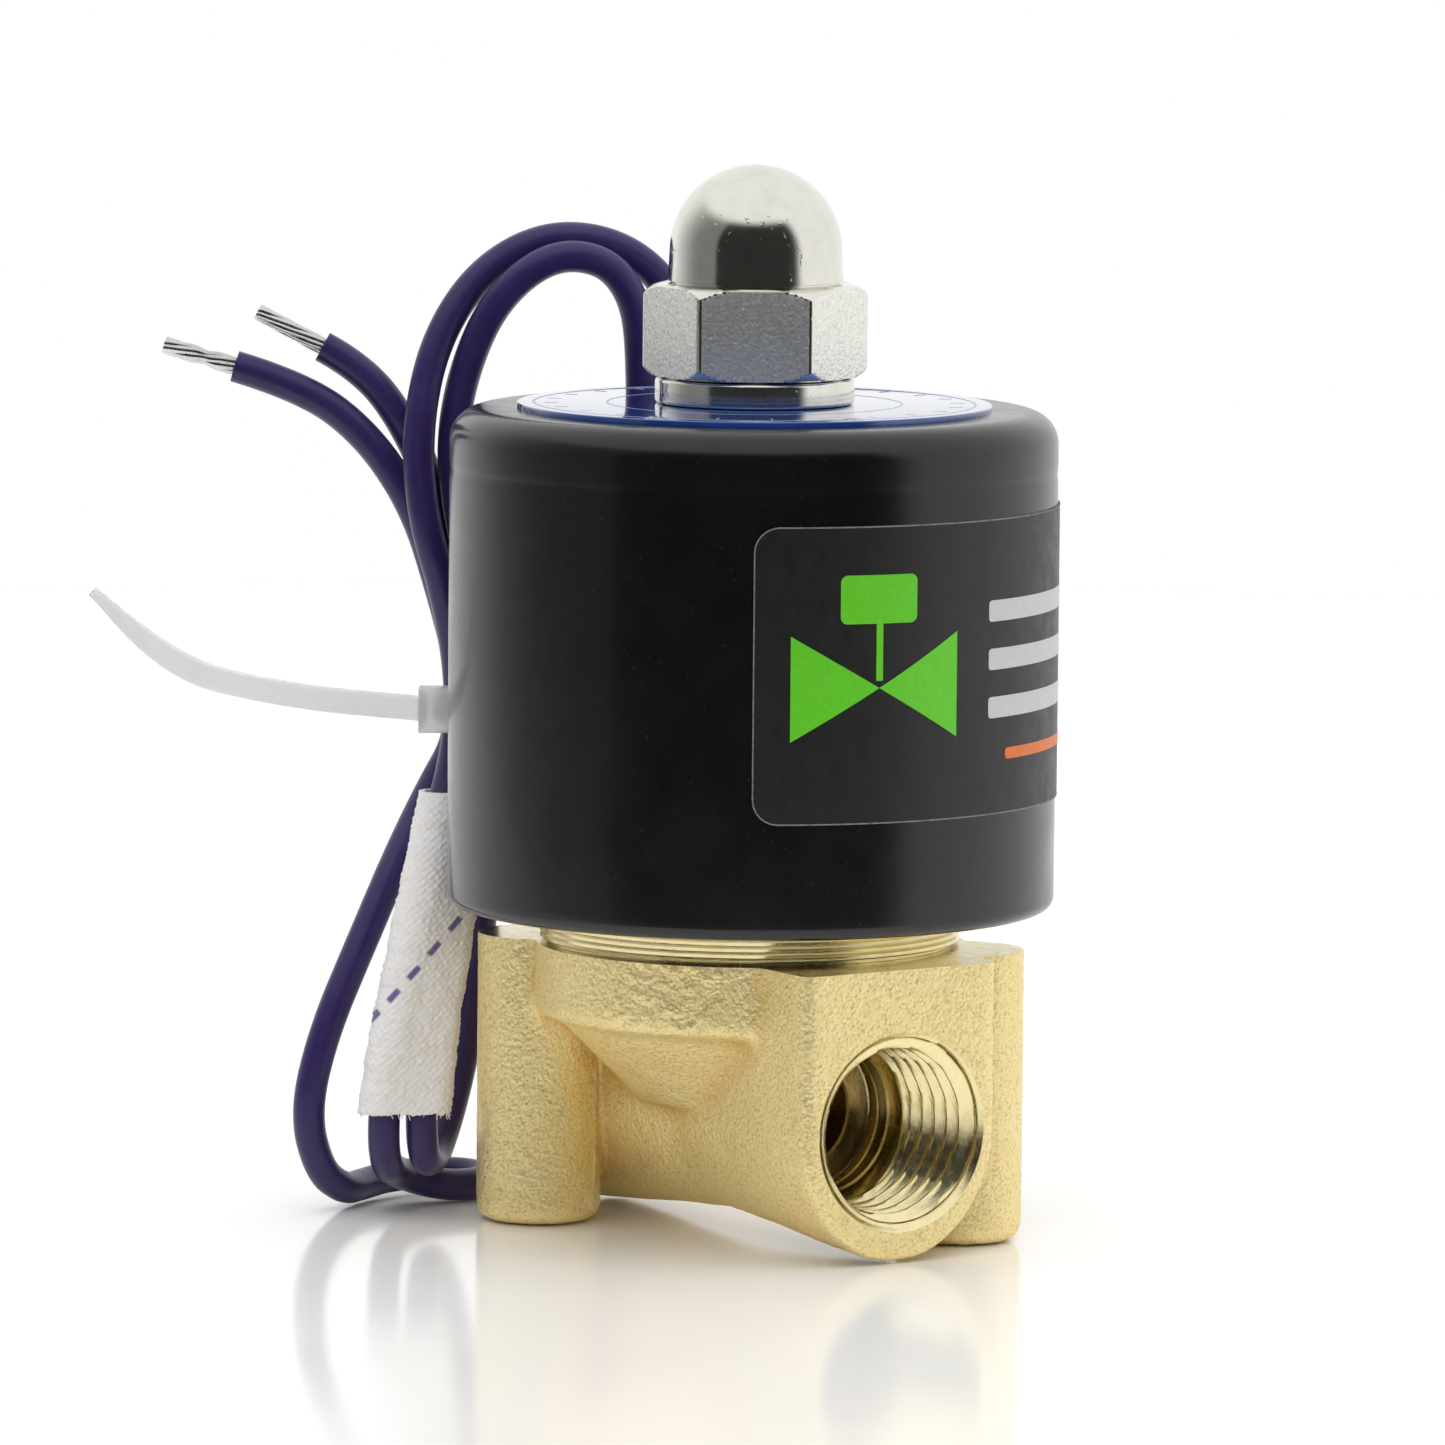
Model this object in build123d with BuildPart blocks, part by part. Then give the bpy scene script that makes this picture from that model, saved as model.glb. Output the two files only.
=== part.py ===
"""Direct-acting, normally closed brass solenoid valve with a round coil and two flying leads.

Units are millimetres. +Z is up along the valve's axis and the flow runs along X. The origin is
at the centre of the base, on the plane that the two feet stand on.
"""
import math
import os

from build123d import *

# ---- driving dimensions ----
PORT_FACE_X = 19.0        # port faces, from the valve's axis
PORT_Z = 9.25             # height of the port axis
BODY_TOP_Z = 20.8
END_HALF_WIDTH = 8.3      # port arm at its face
WAIST_HALF_WIDTH = 6.6    # port arm under the drum
PORT_MAJOR_R = 6.8        # quarter-inch pipe thread, at its major radius
PORT_THREAD_DEPTH = 9.0
PORT_CHAMFER = 0.25
DRUM_R = 15.3
DRUM_BOTTOM_Z = 15.6
PILLAR_R = 4.5
PILLAR_X = 11.7
PILLAR_Y = 10.2
FOOT_TAP_R = 1.65         # M4 tapping hole
FOOT_TAP_DEPTH = 8.0

CHAMBER_R = 6.6
CHAMBER_Z = 14.2
SEAT_Z = 15.6
SEAT_R = 2.6
ORIFICE_R = 1.25
SKIRT_R = 9.5             # threaded skirt of the bonnet
GLAND_Z = 16.6            # shelf that the O-ring lies on

FLANGE_R = 15.0
FLANGE_TOP_Z = 23.4
TUBE_R = 6.0
TUBE_BORE_R = 5.45
TUBE_FLANGE_R = 8.9
TUBE_TOP_Z = 56.4
RUNNING = 0.07            # radial clearance of a running fit
STROKE = 1.5              # travel of the plunger
POLE_GAP = 1.8            # plunger to fixed core with the valve shut
PLUNGER_Z = 16.1
PLUNGER_TOP_Z = 37.0
CORE_Z = PLUNGER_TOP_Z + POLE_GAP
SPRING_SEAT_Z = 26.0
SPRING_WIRE_R = 0.35
SPRING_R = 2.2
SPRING_TURNS = 6

CAN_R = 21.65
CAN_WALL = 1.2
CAN_TOP_Z = 58.9
CAN_ROOF = 2.0
CAN_TOP_ROUND = 2.3
CAN_FOOT_ROUND = 0.9
YOKE_PLATE = 2.0
BOBBIN_BORE_R = 6.35
BOBBIN_TUBE_R = 7.5
BOBBIN_R = 17.0
BOBBIN_FLANGE = 1.2
WINDING_R = 15.6
TAPE = 0.35

DISC_R = 16.9
DISC_TOP_Z = 59.3
LABEL_THICKNESS = 0.2
LABEL_Z = (31.6, 52.4)
LABEL_START = -34.5       # degrees round from +X
LABEL_SWEEP = 172.5
LABEL_CORNER = 1.8

STUD_R = 4.0              # M8
WASHER_R = 7.1
WASHER_TOP_Z = 61.15
NUT_FLATS = 14.0
NUT_TOP_Z = 67.8
NUT_TURN = -34.5          # a flat faces this way, degrees from +X
DOME_R = 6.1
DOME_TOP_Z = 76.25

WIRE_R = 1.15
WIRE_FIT = 0.02
TIP_R = 0.7
TIP_LENGTH = 5.4
SPLICE_R = 1.6
SPLICE_LENGTH = 4.0
LEAD_START_Z = 55.0

# The four strands of the two leads pass through the tie two by two.
BUNDLE_AT = (-24.5, -7.42)  # centre of the bundle of strands inside the tie
TIE_TURN = 235.5            # the tie's tail leaves this way, degrees from +X
TIE_Z = 35.9
TIE_WIDTH = 1.8
TIE_THICKNESS = 0.8
TIE_INNER = 4.9           # inside of the loop, square
TIE_HEAD = (2.6, 2.9, 3.2)

# Route of each lead from its splice, over the can, down through the sleeve, up through the tie.
LEAD_A = [
    (-18.9, 3.1, LEAD_START_Z),
    (-18.9, 3.1, 61),
    (-18.7, 2.3, 65.6),
    (-19.3, 0, 68.4),
    (-21, -3.6, 68.7),
    (-22.9, -7, 65.5),
    (-24.4, -8.7, 60.5),
    (-25.1, -9.4, 55),
    (-24.3, -9.2, 49.7),
    (-23.3, -8, 44.1),
    (-22.8, -7.1, 38.5),
    (-22.8, -7.1, 33.3),
    (-20.8, -10.4, 26.5),
    (-19.4, -13.4, 19.9),
    (-17.6, -15.8, 13.4),
    (-16.3, -17.3, 8.6),
    (-16.4, -17.2, 5.7),
    (-17.8, -15.9, 3.7),
    (-19.9, -13.8, 3.7),
    (-21.4, -11.9, 5.6),
    (-22.1, -10.4, 8.8),
    (-22.4, -9.3, 12.6),
    (-23, -8.1, 18.4),
    (-23.8, -6.9, 24.4),
    (-24.6, -6, 29.4),
    (-24.8, -5.8, 33.3),
    (-24.8, -5.8, 38.5),
    (-25.6, -6.6, 44),
    (-27, -8.9, 50),
    (-27.6, -11.6, 56.1),
    (-29.6, -14, 60.2),
    (-31.3, -16.5, 61.8),
]
LEAD_B = [
    (-18, 6.1, LEAD_START_Z),
    (-18, 6.1, 61.2),
    (-18.6, 5.5, 66.2),
    (-20.8, 2.3, 69.4),
    (-23.4, -2.3, 70),
    (-25.3, -6.9, 67.3),
    (-25.4, -10.7, 62.3),
    (-24.7, -12.6, 56),
    (-23.9, -12.6, 49.9),
    (-23.4, -10.9, 44.3),
    (-24.2, -9.1, 38.5),
    (-24.2, -9.1, 33.3),
    (-20.6, -13.5, 27),
    (-19, -16, 20.1),
    (-17.9, -18.3, 13.6),
    (-17.3, -19.8, 8.4),
    (-17.6, -19.7, 5.5),
    (-19.2, -18.4, 3.6),
    (-21.5, -16.5, 2.8),
    (-22.6, -14, 1.8),
    (-21.6, -11.6, 1.2),
    (-21.3, -9.1, 1.2),
    (-23, -7.1, 1.2),
    (-25.8, -7.5, 1.3),
    (-27.3, -10.1, 1.3),
    (-26.9, -13.5, 1.3),
    (-25.2, -16.7, 1.2),
    (-23.3, -19.4, 1.3),
    (-22.4, -22.1, 3),
    (-22, -23.6, 7.4),
    (-21.7, -22.2, 13.2),
    (-22.4, -18.5, 19.5),
    (-23.9, -14.4, 25.4),
    (-25.7, -10.5, 29.8),
    (-26.2, -7.7, 33.3),
    (-26.2, -7.7, 38.5),
    (-26, -9.5, 44),
    (-26.2, -11.7, 50.3),
    (-28.3, -14.5, 55.5),
    (-31.1, -18.1, 58.9),
    (-34, -22.3, 60.4),
]

# Woven sleeve over the two falling strands: height, centre X, centre Y, direction of its width.
SLEEVE_SECTIONS = [
    (7.7, -17.04, -18.27, 69.4),
    (13.5, -17.82, -16.95, 83.9),
    (20.0, -19.2, -14.66, 97.1),
    (26.0, -20.73, -12.23, 98.0),
    (30.0, -22.2, -10.1, 90.0),
]
SLEEVE_WIDTH = 6.6
SLEEVE_DEPTH = 3.6
SLEEVE_WALL = 0.3

os.makedirs("parts", exist_ok=True)


def write(piece, name):
    """Label one piece and write it as its own file."""
    piece.label = name
    export_step(piece, f"parts/{name}.step")


def port_section(x, half_width, bottom_z):
    """Cross-section of the port arm: upright sides and a rounded belly."""
    with BuildSketch(Plane.YZ.offset(x)) as section:
        with Locations((0, PORT_Z)):
            Ellipse(half_width, PORT_Z - bottom_z)
        with Locations((0, (PORT_Z + BODY_TOP_Z) / 2)):
            Rectangle(2 * half_width, BODY_TOP_Z - PORT_Z)
        with Locations((0, BODY_TOP_Z + PORT_Z)):
            Rectangle(4 * half_width, 2 * PORT_Z, mode=Mode.SUBTRACT)
    return section.sketch


def ring(outer, inner, low, high):
    """Plain ring about the valve's axis."""
    with BuildPart() as part:
        with BuildSketch(Plane.XY.offset(low)):
            Circle(outer)
            Circle(inner, mode=Mode.SUBTRACT)
        extrude(amount=high - low)
    return part.part


# ---- valve body: one brass casting with machined ports, seat and bonnet thread ----
ARM_STATIONS = (
    (0.0, WAIST_HALF_WIDTH, 1.5),
    (7.5, 7.4, 1.0),
    (13.5, 8.1, 0.4),
    (PORT_FACE_X, END_HALF_WIDTH, 0.0),
)
PORT_STEPS = (            # radius and depth from the port face, each deeper than the last
    (PORT_MAJOR_R, PORT_THREAD_DEPTH),
    (6.1, 10.4),
    (5.1, 12.0),
    (3.75, 15.6),
)
INLET_RISER_X = -4.6
INLET_RISER_R = 1.2
OUTLET_START_X = -1.8     # the passage under the seat starts just past the orifice
OUTLET_R = 2.0
with BuildPart() as valve_body:
    for side in (1, -1):
        loft([port_section(side * x, half_width, low) for x, half_width, low in ARM_STATIONS])
    port_rims = valve_body.faces().filter_by(Axis.X).edges()
    fillet([edge for edge in port_rims if edge.center().Z < BODY_TOP_Z - 0.1], 0.7)
    with BuildSketch(Plane.XY.offset(DRUM_BOTTOM_Z)):
        Circle(DRUM_R)
    extrude(amount=BODY_TOP_Z - DRUM_BOTTOM_Z)
    with BuildSketch(Plane.XZ):
        with BuildLine():
            Polyline((0, DRUM_BOTTOM_Z), (DRUM_R - 1.3, DRUM_BOTTOM_Z), (8.0, 9.6), (0, 9.6), close=True)
        make_face()
    revolve(axis=Axis.Z)
    for side in (1, -1):
        with BuildSketch(Plane.XY) as foot:
            with Locations((side * PILLAR_X, side * PILLAR_Y)):
                Circle(PILLAR_R)
        extrude(amount=BODY_TOP_Z)
    foot_rims = valve_body.faces().filter_by(Axis.Z).sort_by(Axis.Z)[:2].edges()
    fillet(foot_rims, 0.9)
    # bonnet thread, O-ring gland and chamber, with the seat standing up in the middle
    with BuildSketch(Plane.XY.offset(GLAND_Z)):
        Circle(SKIRT_R)
    extrude(amount=BODY_TOP_Z - GLAND_Z, mode=Mode.SUBTRACT)
    with BuildSketch(Plane.XY.offset(CHAMBER_Z)):
        Circle(CHAMBER_R)
        Circle(SEAT_R, mode=Mode.SUBTRACT)
    extrude(amount=GLAND_Z - CHAMBER_Z, mode=Mode.SUBTRACT)
    with BuildSketch(Plane.XY.offset(SEAT_Z)):
        Circle(SEAT_R)
    extrude(amount=GLAND_Z - SEAT_Z, mode=Mode.SUBTRACT)
    # pipe ports, stepped down to the bores that feed the chamber and drain the seat
    for side in (1, -1):
        for radius, depth in PORT_STEPS:
            with BuildSketch(Plane.YZ.offset(side * PORT_FACE_X)):
                with Locations((0, PORT_Z)):
                    Circle(radius)
            extrude(amount=-side * depth, mode=Mode.SUBTRACT)
        mouth = valve_body.edges().filter_by(GeomType.CIRCLE)
        mouth = mouth.filter_by(lambda edge: abs(edge.radius - PORT_MAJOR_R) < 0.01)
        mouth = mouth.filter_by(lambda edge: abs(edge.center().X - side * PORT_FACE_X) < 0.01)
        chamfer(mouth, PORT_CHAMFER)
    with BuildSketch(Plane.XY.offset(PORT_Z)):
        with Locations((INLET_RISER_X, 0)):
            Circle(INLET_RISER_R)
    extrude(amount=CHAMBER_Z - PORT_Z + 0.5, mode=Mode.SUBTRACT)
    with BuildSketch(Plane.XY.offset(PORT_Z)):
        Circle(ORIFICE_R)
    extrude(amount=SEAT_Z - PORT_Z, mode=Mode.SUBTRACT)
    with BuildSketch(Plane.YZ.offset(OUTLET_START_X)):
        with Locations((0, PORT_Z)):
            Circle(OUTLET_R)
    extrude(amount=PORT_FACE_X - PORT_STEPS[-1][1] - OUTLET_START_X + 0.5, mode=Mode.SUBTRACT)
    # tapped holes in the feet
    for side in (1, -1):
        with BuildSketch(Plane.XY):
            with Locations((side * PILLAR_X, side * PILLAR_Y)):
                Circle(FOOT_TAP_R)
        extrude(amount=FOOT_TAP_DEPTH, mode=Mode.SUBTRACT)
write(valve_body.part, "valve_body")

# ---- bonnet, armature tube and their seal ----
TUBE_FLANGE_TOP_Z = 18.3
TUBE_FLANGE_BOTTOM_Z = 17.5
SKIRT_CLEARANCE = 0.05
with BuildPart() as bonnet_flange:
    with BuildSketch(Plane.XZ):
        with BuildLine():
            Polyline(
                (TUBE_R + 0.02, TUBE_FLANGE_TOP_Z),
                (SKIRT_R - SKIRT_CLEARANCE, TUBE_FLANGE_TOP_Z),
                (SKIRT_R - SKIRT_CLEARANCE, BODY_TOP_Z),
                (FLANGE_R - 0.5, BODY_TOP_Z),
                (FLANGE_R - 0.5, BODY_TOP_Z + 0.3),
                (FLANGE_R, BODY_TOP_Z + 0.3),
                (FLANGE_R, FLANGE_TOP_Z - 0.2),
                (FLANGE_R - 0.2, FLANGE_TOP_Z),
                (TUBE_R + 0.02, FLANGE_TOP_Z),
                close=True,
            )
        make_face()
    revolve(axis=Axis.Z)
write(bonnet_flange.part, "bonnet_flange")

with BuildPart() as armature_tube:
    with BuildSketch(Plane.XZ):
        with BuildLine():
            Polyline(
                (TUBE_BORE_R, TUBE_FLANGE_BOTTOM_Z),
                (TUBE_FLANGE_R, TUBE_FLANGE_BOTTOM_Z),
                (TUBE_FLANGE_R, TUBE_FLANGE_TOP_Z),
                (TUBE_R, TUBE_FLANGE_TOP_Z),
                (TUBE_R, TUBE_TOP_Z),
                (TUBE_BORE_R, TUBE_TOP_Z),
                close=True,
            )
        make_face()
    revolve(axis=Axis.Z)
write(armature_tube.part, "armature_tube")

O_RING_R = (TUBE_FLANGE_BOTTOM_Z - GLAND_Z) / 2
with BuildPart() as bonnet_o_ring:
    with BuildSketch(Plane.XZ):
        with Locations((CHAMBER_R + 1.4, GLAND_Z + O_RING_R)):
            Circle(O_RING_R)
    revolve(axis=Axis.Z)
write(bonnet_o_ring.part, "bonnet_o_ring")

# ---- fixed core with its stud, and the shading ring set in its pole face ----
SHADE_OUTER_R = 4.3
SHADE_INNER_R = 3.4
SHADE_DEPTH = 1.2
with BuildPart() as fixed_core:
    with BuildSketch(Plane.XY.offset(CORE_Z)):
        Circle(TUBE_BORE_R - 0.02)
    extrude(amount=TUBE_TOP_Z - CORE_Z)
    with BuildSketch(Plane.XY.offset(TUBE_TOP_Z)):
        Circle(STUD_R)
    extrude(amount=NUT_TOP_Z + 1.5 - TUBE_TOP_Z)
    chamfer(fixed_core.faces().sort_by(Axis.Z)[-1].edges(), 0.6)
    with BuildSketch(Plane.XY.offset(CORE_Z)):
        Circle(SHADE_OUTER_R)
        Circle(SHADE_INNER_R, mode=Mode.SUBTRACT)
    extrude(amount=SHADE_DEPTH, mode=Mode.SUBTRACT)
write(fixed_core.part, "fixed_core")
shading_ring = ring(SHADE_OUTER_R - 0.02, SHADE_INNER_R + 0.02, CORE_Z, CORE_Z + SHADE_DEPTH)
write(shading_ring, "shading_ring")

# ---- plunger, its seal and the return spring ----
SEAL_R = 3.4
SEAL_TOP_Z = 18.4
SPRING_BORE_R = 2.9
with BuildPart() as plunger:
    with BuildSketch(Plane.XY.offset(PLUNGER_Z)):
        Circle(TUBE_BORE_R - RUNNING)
    extrude(amount=PLUNGER_TOP_Z - PLUNGER_Z)
    with BuildSketch(Plane.XY.offset(PLUNGER_Z)):
        Circle(SEAL_R)
    extrude(amount=SEAL_TOP_Z - PLUNGER_Z, mode=Mode.SUBTRACT)
    with BuildSketch(Plane.XY.offset(SPRING_SEAT_Z)):
        Circle(SPRING_BORE_R)
    extrude(amount=PLUNGER_TOP_Z - SPRING_SEAT_Z, mode=Mode.SUBTRACT)
    # two flats let the fluid past
    with BuildSketch(Plane.XY.offset(PLUNGER_Z)):
        with Locations((0, TUBE_BORE_R + 0.3), (0, -TUBE_BORE_R - 0.3)):
            Rectangle(2 * TUBE_BORE_R, 2.0)
    extrude(amount=PLUNGER_TOP_Z - PLUNGER_Z, mode=Mode.SUBTRACT)
write(plunger.part, "plunger")

with BuildPart() as plunger_seal:
    with BuildSketch(Plane.XY.offset(SEAT_Z)):
        Circle(SEAL_R - 0.4)
    extrude(amount=PLUNGER_Z - SEAT_Z)
    with BuildSketch(Plane.XY.offset(PLUNGER_Z)):
        Circle(SEAL_R - 0.02)
    extrude(amount=SEAL_TOP_Z - PLUNGER_Z)
write(plunger_seal.part, "plunger_seal")

SPRING_LOW_Z = SPRING_SEAT_Z + SPRING_WIRE_R + 0.05
SPRING_HIGH_Z = CORE_Z - SPRING_WIRE_R - 0.05
with BuildPart() as return_spring:
    with BuildLine(Plane.XY.offset(SPRING_LOW_Z)) as coils:
        height = SPRING_HIGH_Z - SPRING_LOW_Z
        Helix(pitch=height / SPRING_TURNS, height=height, radius=SPRING_R)
    with BuildSketch(Plane(origin=coils.line @ 0, z_dir=coils.line % 0)):
        Circle(SPRING_WIRE_R)
    sweep(is_frenet=True)
write(return_spring.part, "return_spring")

# ---- coil: can, yoke plate, bobbin, winding, tape and potting ----
LEAD_HOLES = (LEAD_A[0][:2], LEAD_B[0][:2])
GROMMET_X = (LEAD_A[0][0] + LEAD_B[0][0]) / 2
GROMMET_Y = (LEAD_A[0][1] + LEAD_B[0][1]) / 2
GROMMET_PITCH = math.dist(*LEAD_HOLES)
GROMMET_TURN = math.degrees(math.atan2(LEAD_B[0][1] - LEAD_A[0][1], LEAD_B[0][0] - LEAD_A[0][0]))
GROMMET_WALL = 0.35
GROMMET_WIDTH = 2 * (WIRE_R + GROMMET_WALL)
ROOF_Z = CAN_TOP_Z - CAN_ROOF
with BuildPart() as coil_can:
    with BuildSketch(Plane.XY.offset(FLANGE_TOP_Z)):
        Circle(CAN_R)
    extrude(amount=CAN_TOP_Z - FLANGE_TOP_Z)
    fillet(coil_can.faces().sort_by(Axis.Z)[-1].edges(), CAN_TOP_ROUND)
    fillet(coil_can.faces().sort_by(Axis.Z)[0].edges(), CAN_FOOT_ROUND)
    with BuildSketch(Plane.XY.offset(FLANGE_TOP_Z)):
        Circle(CAN_R - CAN_WALL)
    extrude(amount=ROOF_Z - FLANGE_TOP_Z, mode=Mode.SUBTRACT)
    with BuildSketch(Plane.XY.offset(ROOF_Z)):
        Circle(STUD_R + 0.3)
        with Locations(Location((GROMMET_X, GROMMET_Y), GROMMET_TURN)):
            SlotCenterToCenter(GROMMET_PITCH, GROMMET_WIDTH)
    extrude(amount=CAN_ROOF, mode=Mode.SUBTRACT)
write(coil_can.part, "coil_can")

with BuildPart() as yoke_base_plate:
    with BuildSketch(Plane.XY.offset(FLANGE_TOP_Z)):
        Circle(CAN_R - CAN_WALL - 0.03)
        Circle(TUBE_R + RUNNING, mode=Mode.SUBTRACT)
    extrude(amount=YOKE_PLATE)
write(yoke_base_plate.part, "yoke_base_plate")

BOBBIN_Z = FLANGE_TOP_Z + YOKE_PLATE
BOBBIN_TOP_Z = ROOF_Z - 0.1
with BuildPart() as coil_bobbin:
    with BuildSketch(Plane.XZ):
        with BuildLine():
            Polyline(
                (BOBBIN_BORE_R, BOBBIN_Z),
                (BOBBIN_R, BOBBIN_Z),
                (BOBBIN_R, BOBBIN_Z + BOBBIN_FLANGE),
                (BOBBIN_TUBE_R, BOBBIN_Z + BOBBIN_FLANGE),
                (BOBBIN_TUBE_R, BOBBIN_TOP_Z - BOBBIN_FLANGE),
                (BOBBIN_R, BOBBIN_TOP_Z - BOBBIN_FLANGE),
                (BOBBIN_R, BOBBIN_TOP_Z),
                (BOBBIN_BORE_R, BOBBIN_TOP_Z),
                close=True,
            )
        make_face()
    revolve(axis=Axis.Z)
write(coil_bobbin.part, "coil_bobbin")

WINDING_Z = BOBBIN_Z + BOBBIN_FLANGE
WINDING_TOP_Z = BOBBIN_TOP_Z - BOBBIN_FLANGE
coil_winding = ring(WINDING_R, BOBBIN_TUBE_R + 0.02, WINDING_Z, WINDING_TOP_Z)
write(coil_winding, "coil_winding")
winding_tape = ring(WINDING_R + TAPE, WINDING_R, WINDING_Z, WINDING_TOP_Z)
write(winding_tape, "winding_tape")

POTTING_R = BOBBIN_R + 0.02
SPLICE_Z = LEAD_START_Z - SPLICE_LENGTH
with BuildPart() as potting_resin:
    with BuildSketch(Plane.XY.offset(BOBBIN_Z)):
        Circle(CAN_R - CAN_WALL - 0.03)
        Circle(POTTING_R, mode=Mode.SUBTRACT)
    extrude(amount=BOBBIN_TOP_Z - BOBBIN_Z)
    with BuildSketch(Plane.XY.offset(SPLICE_Z)):
        with Locations(LEAD_HOLES):
            Circle(WIRE_R + WIRE_FIT)
    extrude(amount=BOBBIN_TOP_Z - SPLICE_Z, mode=Mode.SUBTRACT)
write(potting_resin.part, "potting_resin")

with BuildPart() as lead_splices:
    with BuildSketch(Plane.XY.offset(SPLICE_Z)):
        with Locations(LEAD_HOLES):
            Circle(WIRE_R - 0.1)
    extrude(amount=SPLICE_LENGTH)
write(lead_splices.part, "lead_splices")

with BuildPart() as lead_grommet:
    with BuildSketch(Plane.XY.offset(ROOF_Z)):
        with Locations(Location((GROMMET_X, GROMMET_Y), GROMMET_TURN)):
            SlotCenterToCenter(GROMMET_PITCH, GROMMET_WIDTH - 0.04)
        with Locations(LEAD_HOLES):
            Circle(WIRE_R + WIRE_FIT, mode=Mode.SUBTRACT)
    extrude(amount=CAN_ROOF)
write(lead_grommet.part, "lead_grommet")

# ---- name disc and side label, both blank ----
name_disc = ring(DISC_R, STUD_R + 0.3, CAN_TOP_Z, DISC_TOP_Z)
write(name_disc, "name_disc")

with BuildPart() as side_label:
    with BuildSketch(Plane.XY.offset(LABEL_Z[0])):
        with BuildLine():
            inner = CenterArc((0, 0), CAN_R, LABEL_START, LABEL_SWEEP)
            outer = CenterArc((0, 0), CAN_R + LABEL_THICKNESS, LABEL_START, LABEL_SWEEP)
            Line(inner @ 0, outer @ 0)
            Line(inner @ 1, outer @ 1)
        make_face()
    extrude(amount=LABEL_Z[1] - LABEL_Z[0])
    corners = side_label.edges().filter_by(lambda edge: abs(edge.length - LABEL_THICKNESS) < 0.01)
    fillet(corners, LABEL_CORNER)
write(side_label.part, "side_label")

# ---- lock washer and cap nut on the stud ----
with BuildPart() as spring_washer:
    with BuildSketch(Plane.XY.offset(DISC_TOP_Z)):
        Circle(WASHER_R)
        Circle(STUD_R + 0.15, mode=Mode.SUBTRACT)
        with Locations((-WASHER_R, 0)):
            Rectangle(8.0, 0.8, rotation=25, mode=Mode.SUBTRACT)
    extrude(amount=WASHER_TOP_Z - DISC_TOP_Z)
write(spring_washer.part, "spring_washer")

HEX_CORNER_R = NUT_FLATS / 2 / math.cos(math.pi / 6)
with BuildPart() as cap_nut:
    with BuildSketch(Plane.XY.offset(WASHER_TOP_Z)):
        RegularPolygon(NUT_FLATS / 2, 6, major_radius=False, rotation=NUT_TURN + 30)
    extrude(amount=NUT_TOP_Z - WASHER_TOP_Z)
    # the corners are turned off at both ends
    with BuildSketch(Plane.XZ):
        with BuildLine():
            Polyline(
                (0, WASHER_TOP_Z),
                (NUT_FLATS / 2 - 0.1, WASHER_TOP_Z),
                (HEX_CORNER_R, WASHER_TOP_Z + 0.75),
                (HEX_CORNER_R, NUT_TOP_Z - 0.75),
                (NUT_FLATS / 2 - 0.1, NUT_TOP_Z),
                (0, NUT_TOP_Z),
                close=True,
            )
        make_face()
    revolve(axis=Axis.Z, mode=Mode.INTERSECT)
    with BuildSketch(Plane.XZ):
        with BuildLine():
            Line((0, NUT_TOP_Z - 1.0), (DOME_R + 0.2, NUT_TOP_Z - 1.0))
            Line((DOME_R + 0.2, NUT_TOP_Z - 1.0), (DOME_R + 0.2, NUT_TOP_Z + 0.3))
            Line((DOME_R + 0.2, NUT_TOP_Z + 0.3), (DOME_R, NUT_TOP_Z + 0.5))
            Line((DOME_R, NUT_TOP_Z + 0.5), (DOME_R, DOME_TOP_Z - DOME_R))
            CenterArc((0, DOME_TOP_Z - DOME_R), DOME_R, 0, 90)
            Line((0, DOME_TOP_Z), (0, NUT_TOP_Z - 1.0))
        make_face()
    revolve(axis=Axis.Z)
    with BuildSketch(Plane.XY.offset(WASHER_TOP_Z)):
        Circle(STUD_R + 0.02)
    extrude(amount=NUT_TOP_Z + 2.5 - WASHER_TOP_Z, mode=Mode.SUBTRACT)
write(cap_nut.part, "cap_nut")


# ---- flying leads, their tinned tips, the woven sleeve and the cable tie ----
def bend_radii(points):
    """Radius at each corner: as large as the shorter of its two runs allows."""
    radii = []
    for before, corner, after in zip(points, points[1:], points[2:]):
        arriving = Vector(corner) - Vector(before)
        leaving = Vector(after) - Vector(corner)
        half_turn = math.radians(arriving.get_angle(leaving)) / 2
        radii.append(0.45 * min(arriving.length, leaving.length) / math.tan(half_turn))
    return radii


def lead_wire(points, name):
    """Insulated lead along its route: straight runs joined by tangent arcs."""
    radii = bend_radii(points)
    with BuildPart() as wire:
        with BuildLine() as route:
            FilletPolyline(*points, radius=radii)
        with BuildSketch(Plane(origin=route.line @ 0, z_dir=route.line % 0)):
            Circle(WIRE_R)
        sweep()
    write(wire.part, name)
    length = route.wire().length
    print(name, "radii", [round(radius, 1) for radius in radii])
    print(name, "length", round(length, 1), "volume", round(wire.part.volume, 1))
    print(name, "section times length", round(math.pi * WIRE_R**2 * length, 1))


def lead_tip(points, name):
    """Tinned strands that stand out of the end of the insulation."""
    end = Vector(points[-1])
    along = (end - Vector(points[-2])).normalized()
    with BuildPart() as tip:
        with BuildSketch(Plane(origin=end, z_dir=along)):
            Circle(TIP_R)
        extrude(amount=TIP_LENGTH)
        chamfer(tip.faces().sort_by(Axis(end, along))[-1].edges(), 0.2)
    write(tip.part, name)


for suffix, route_points in (("a", LEAD_A), ("b", LEAD_B)):
    lead_wire(route_points, f"lead_wire_{suffix}")
    lead_tip(route_points, f"lead_tip_{suffix}")

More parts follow.
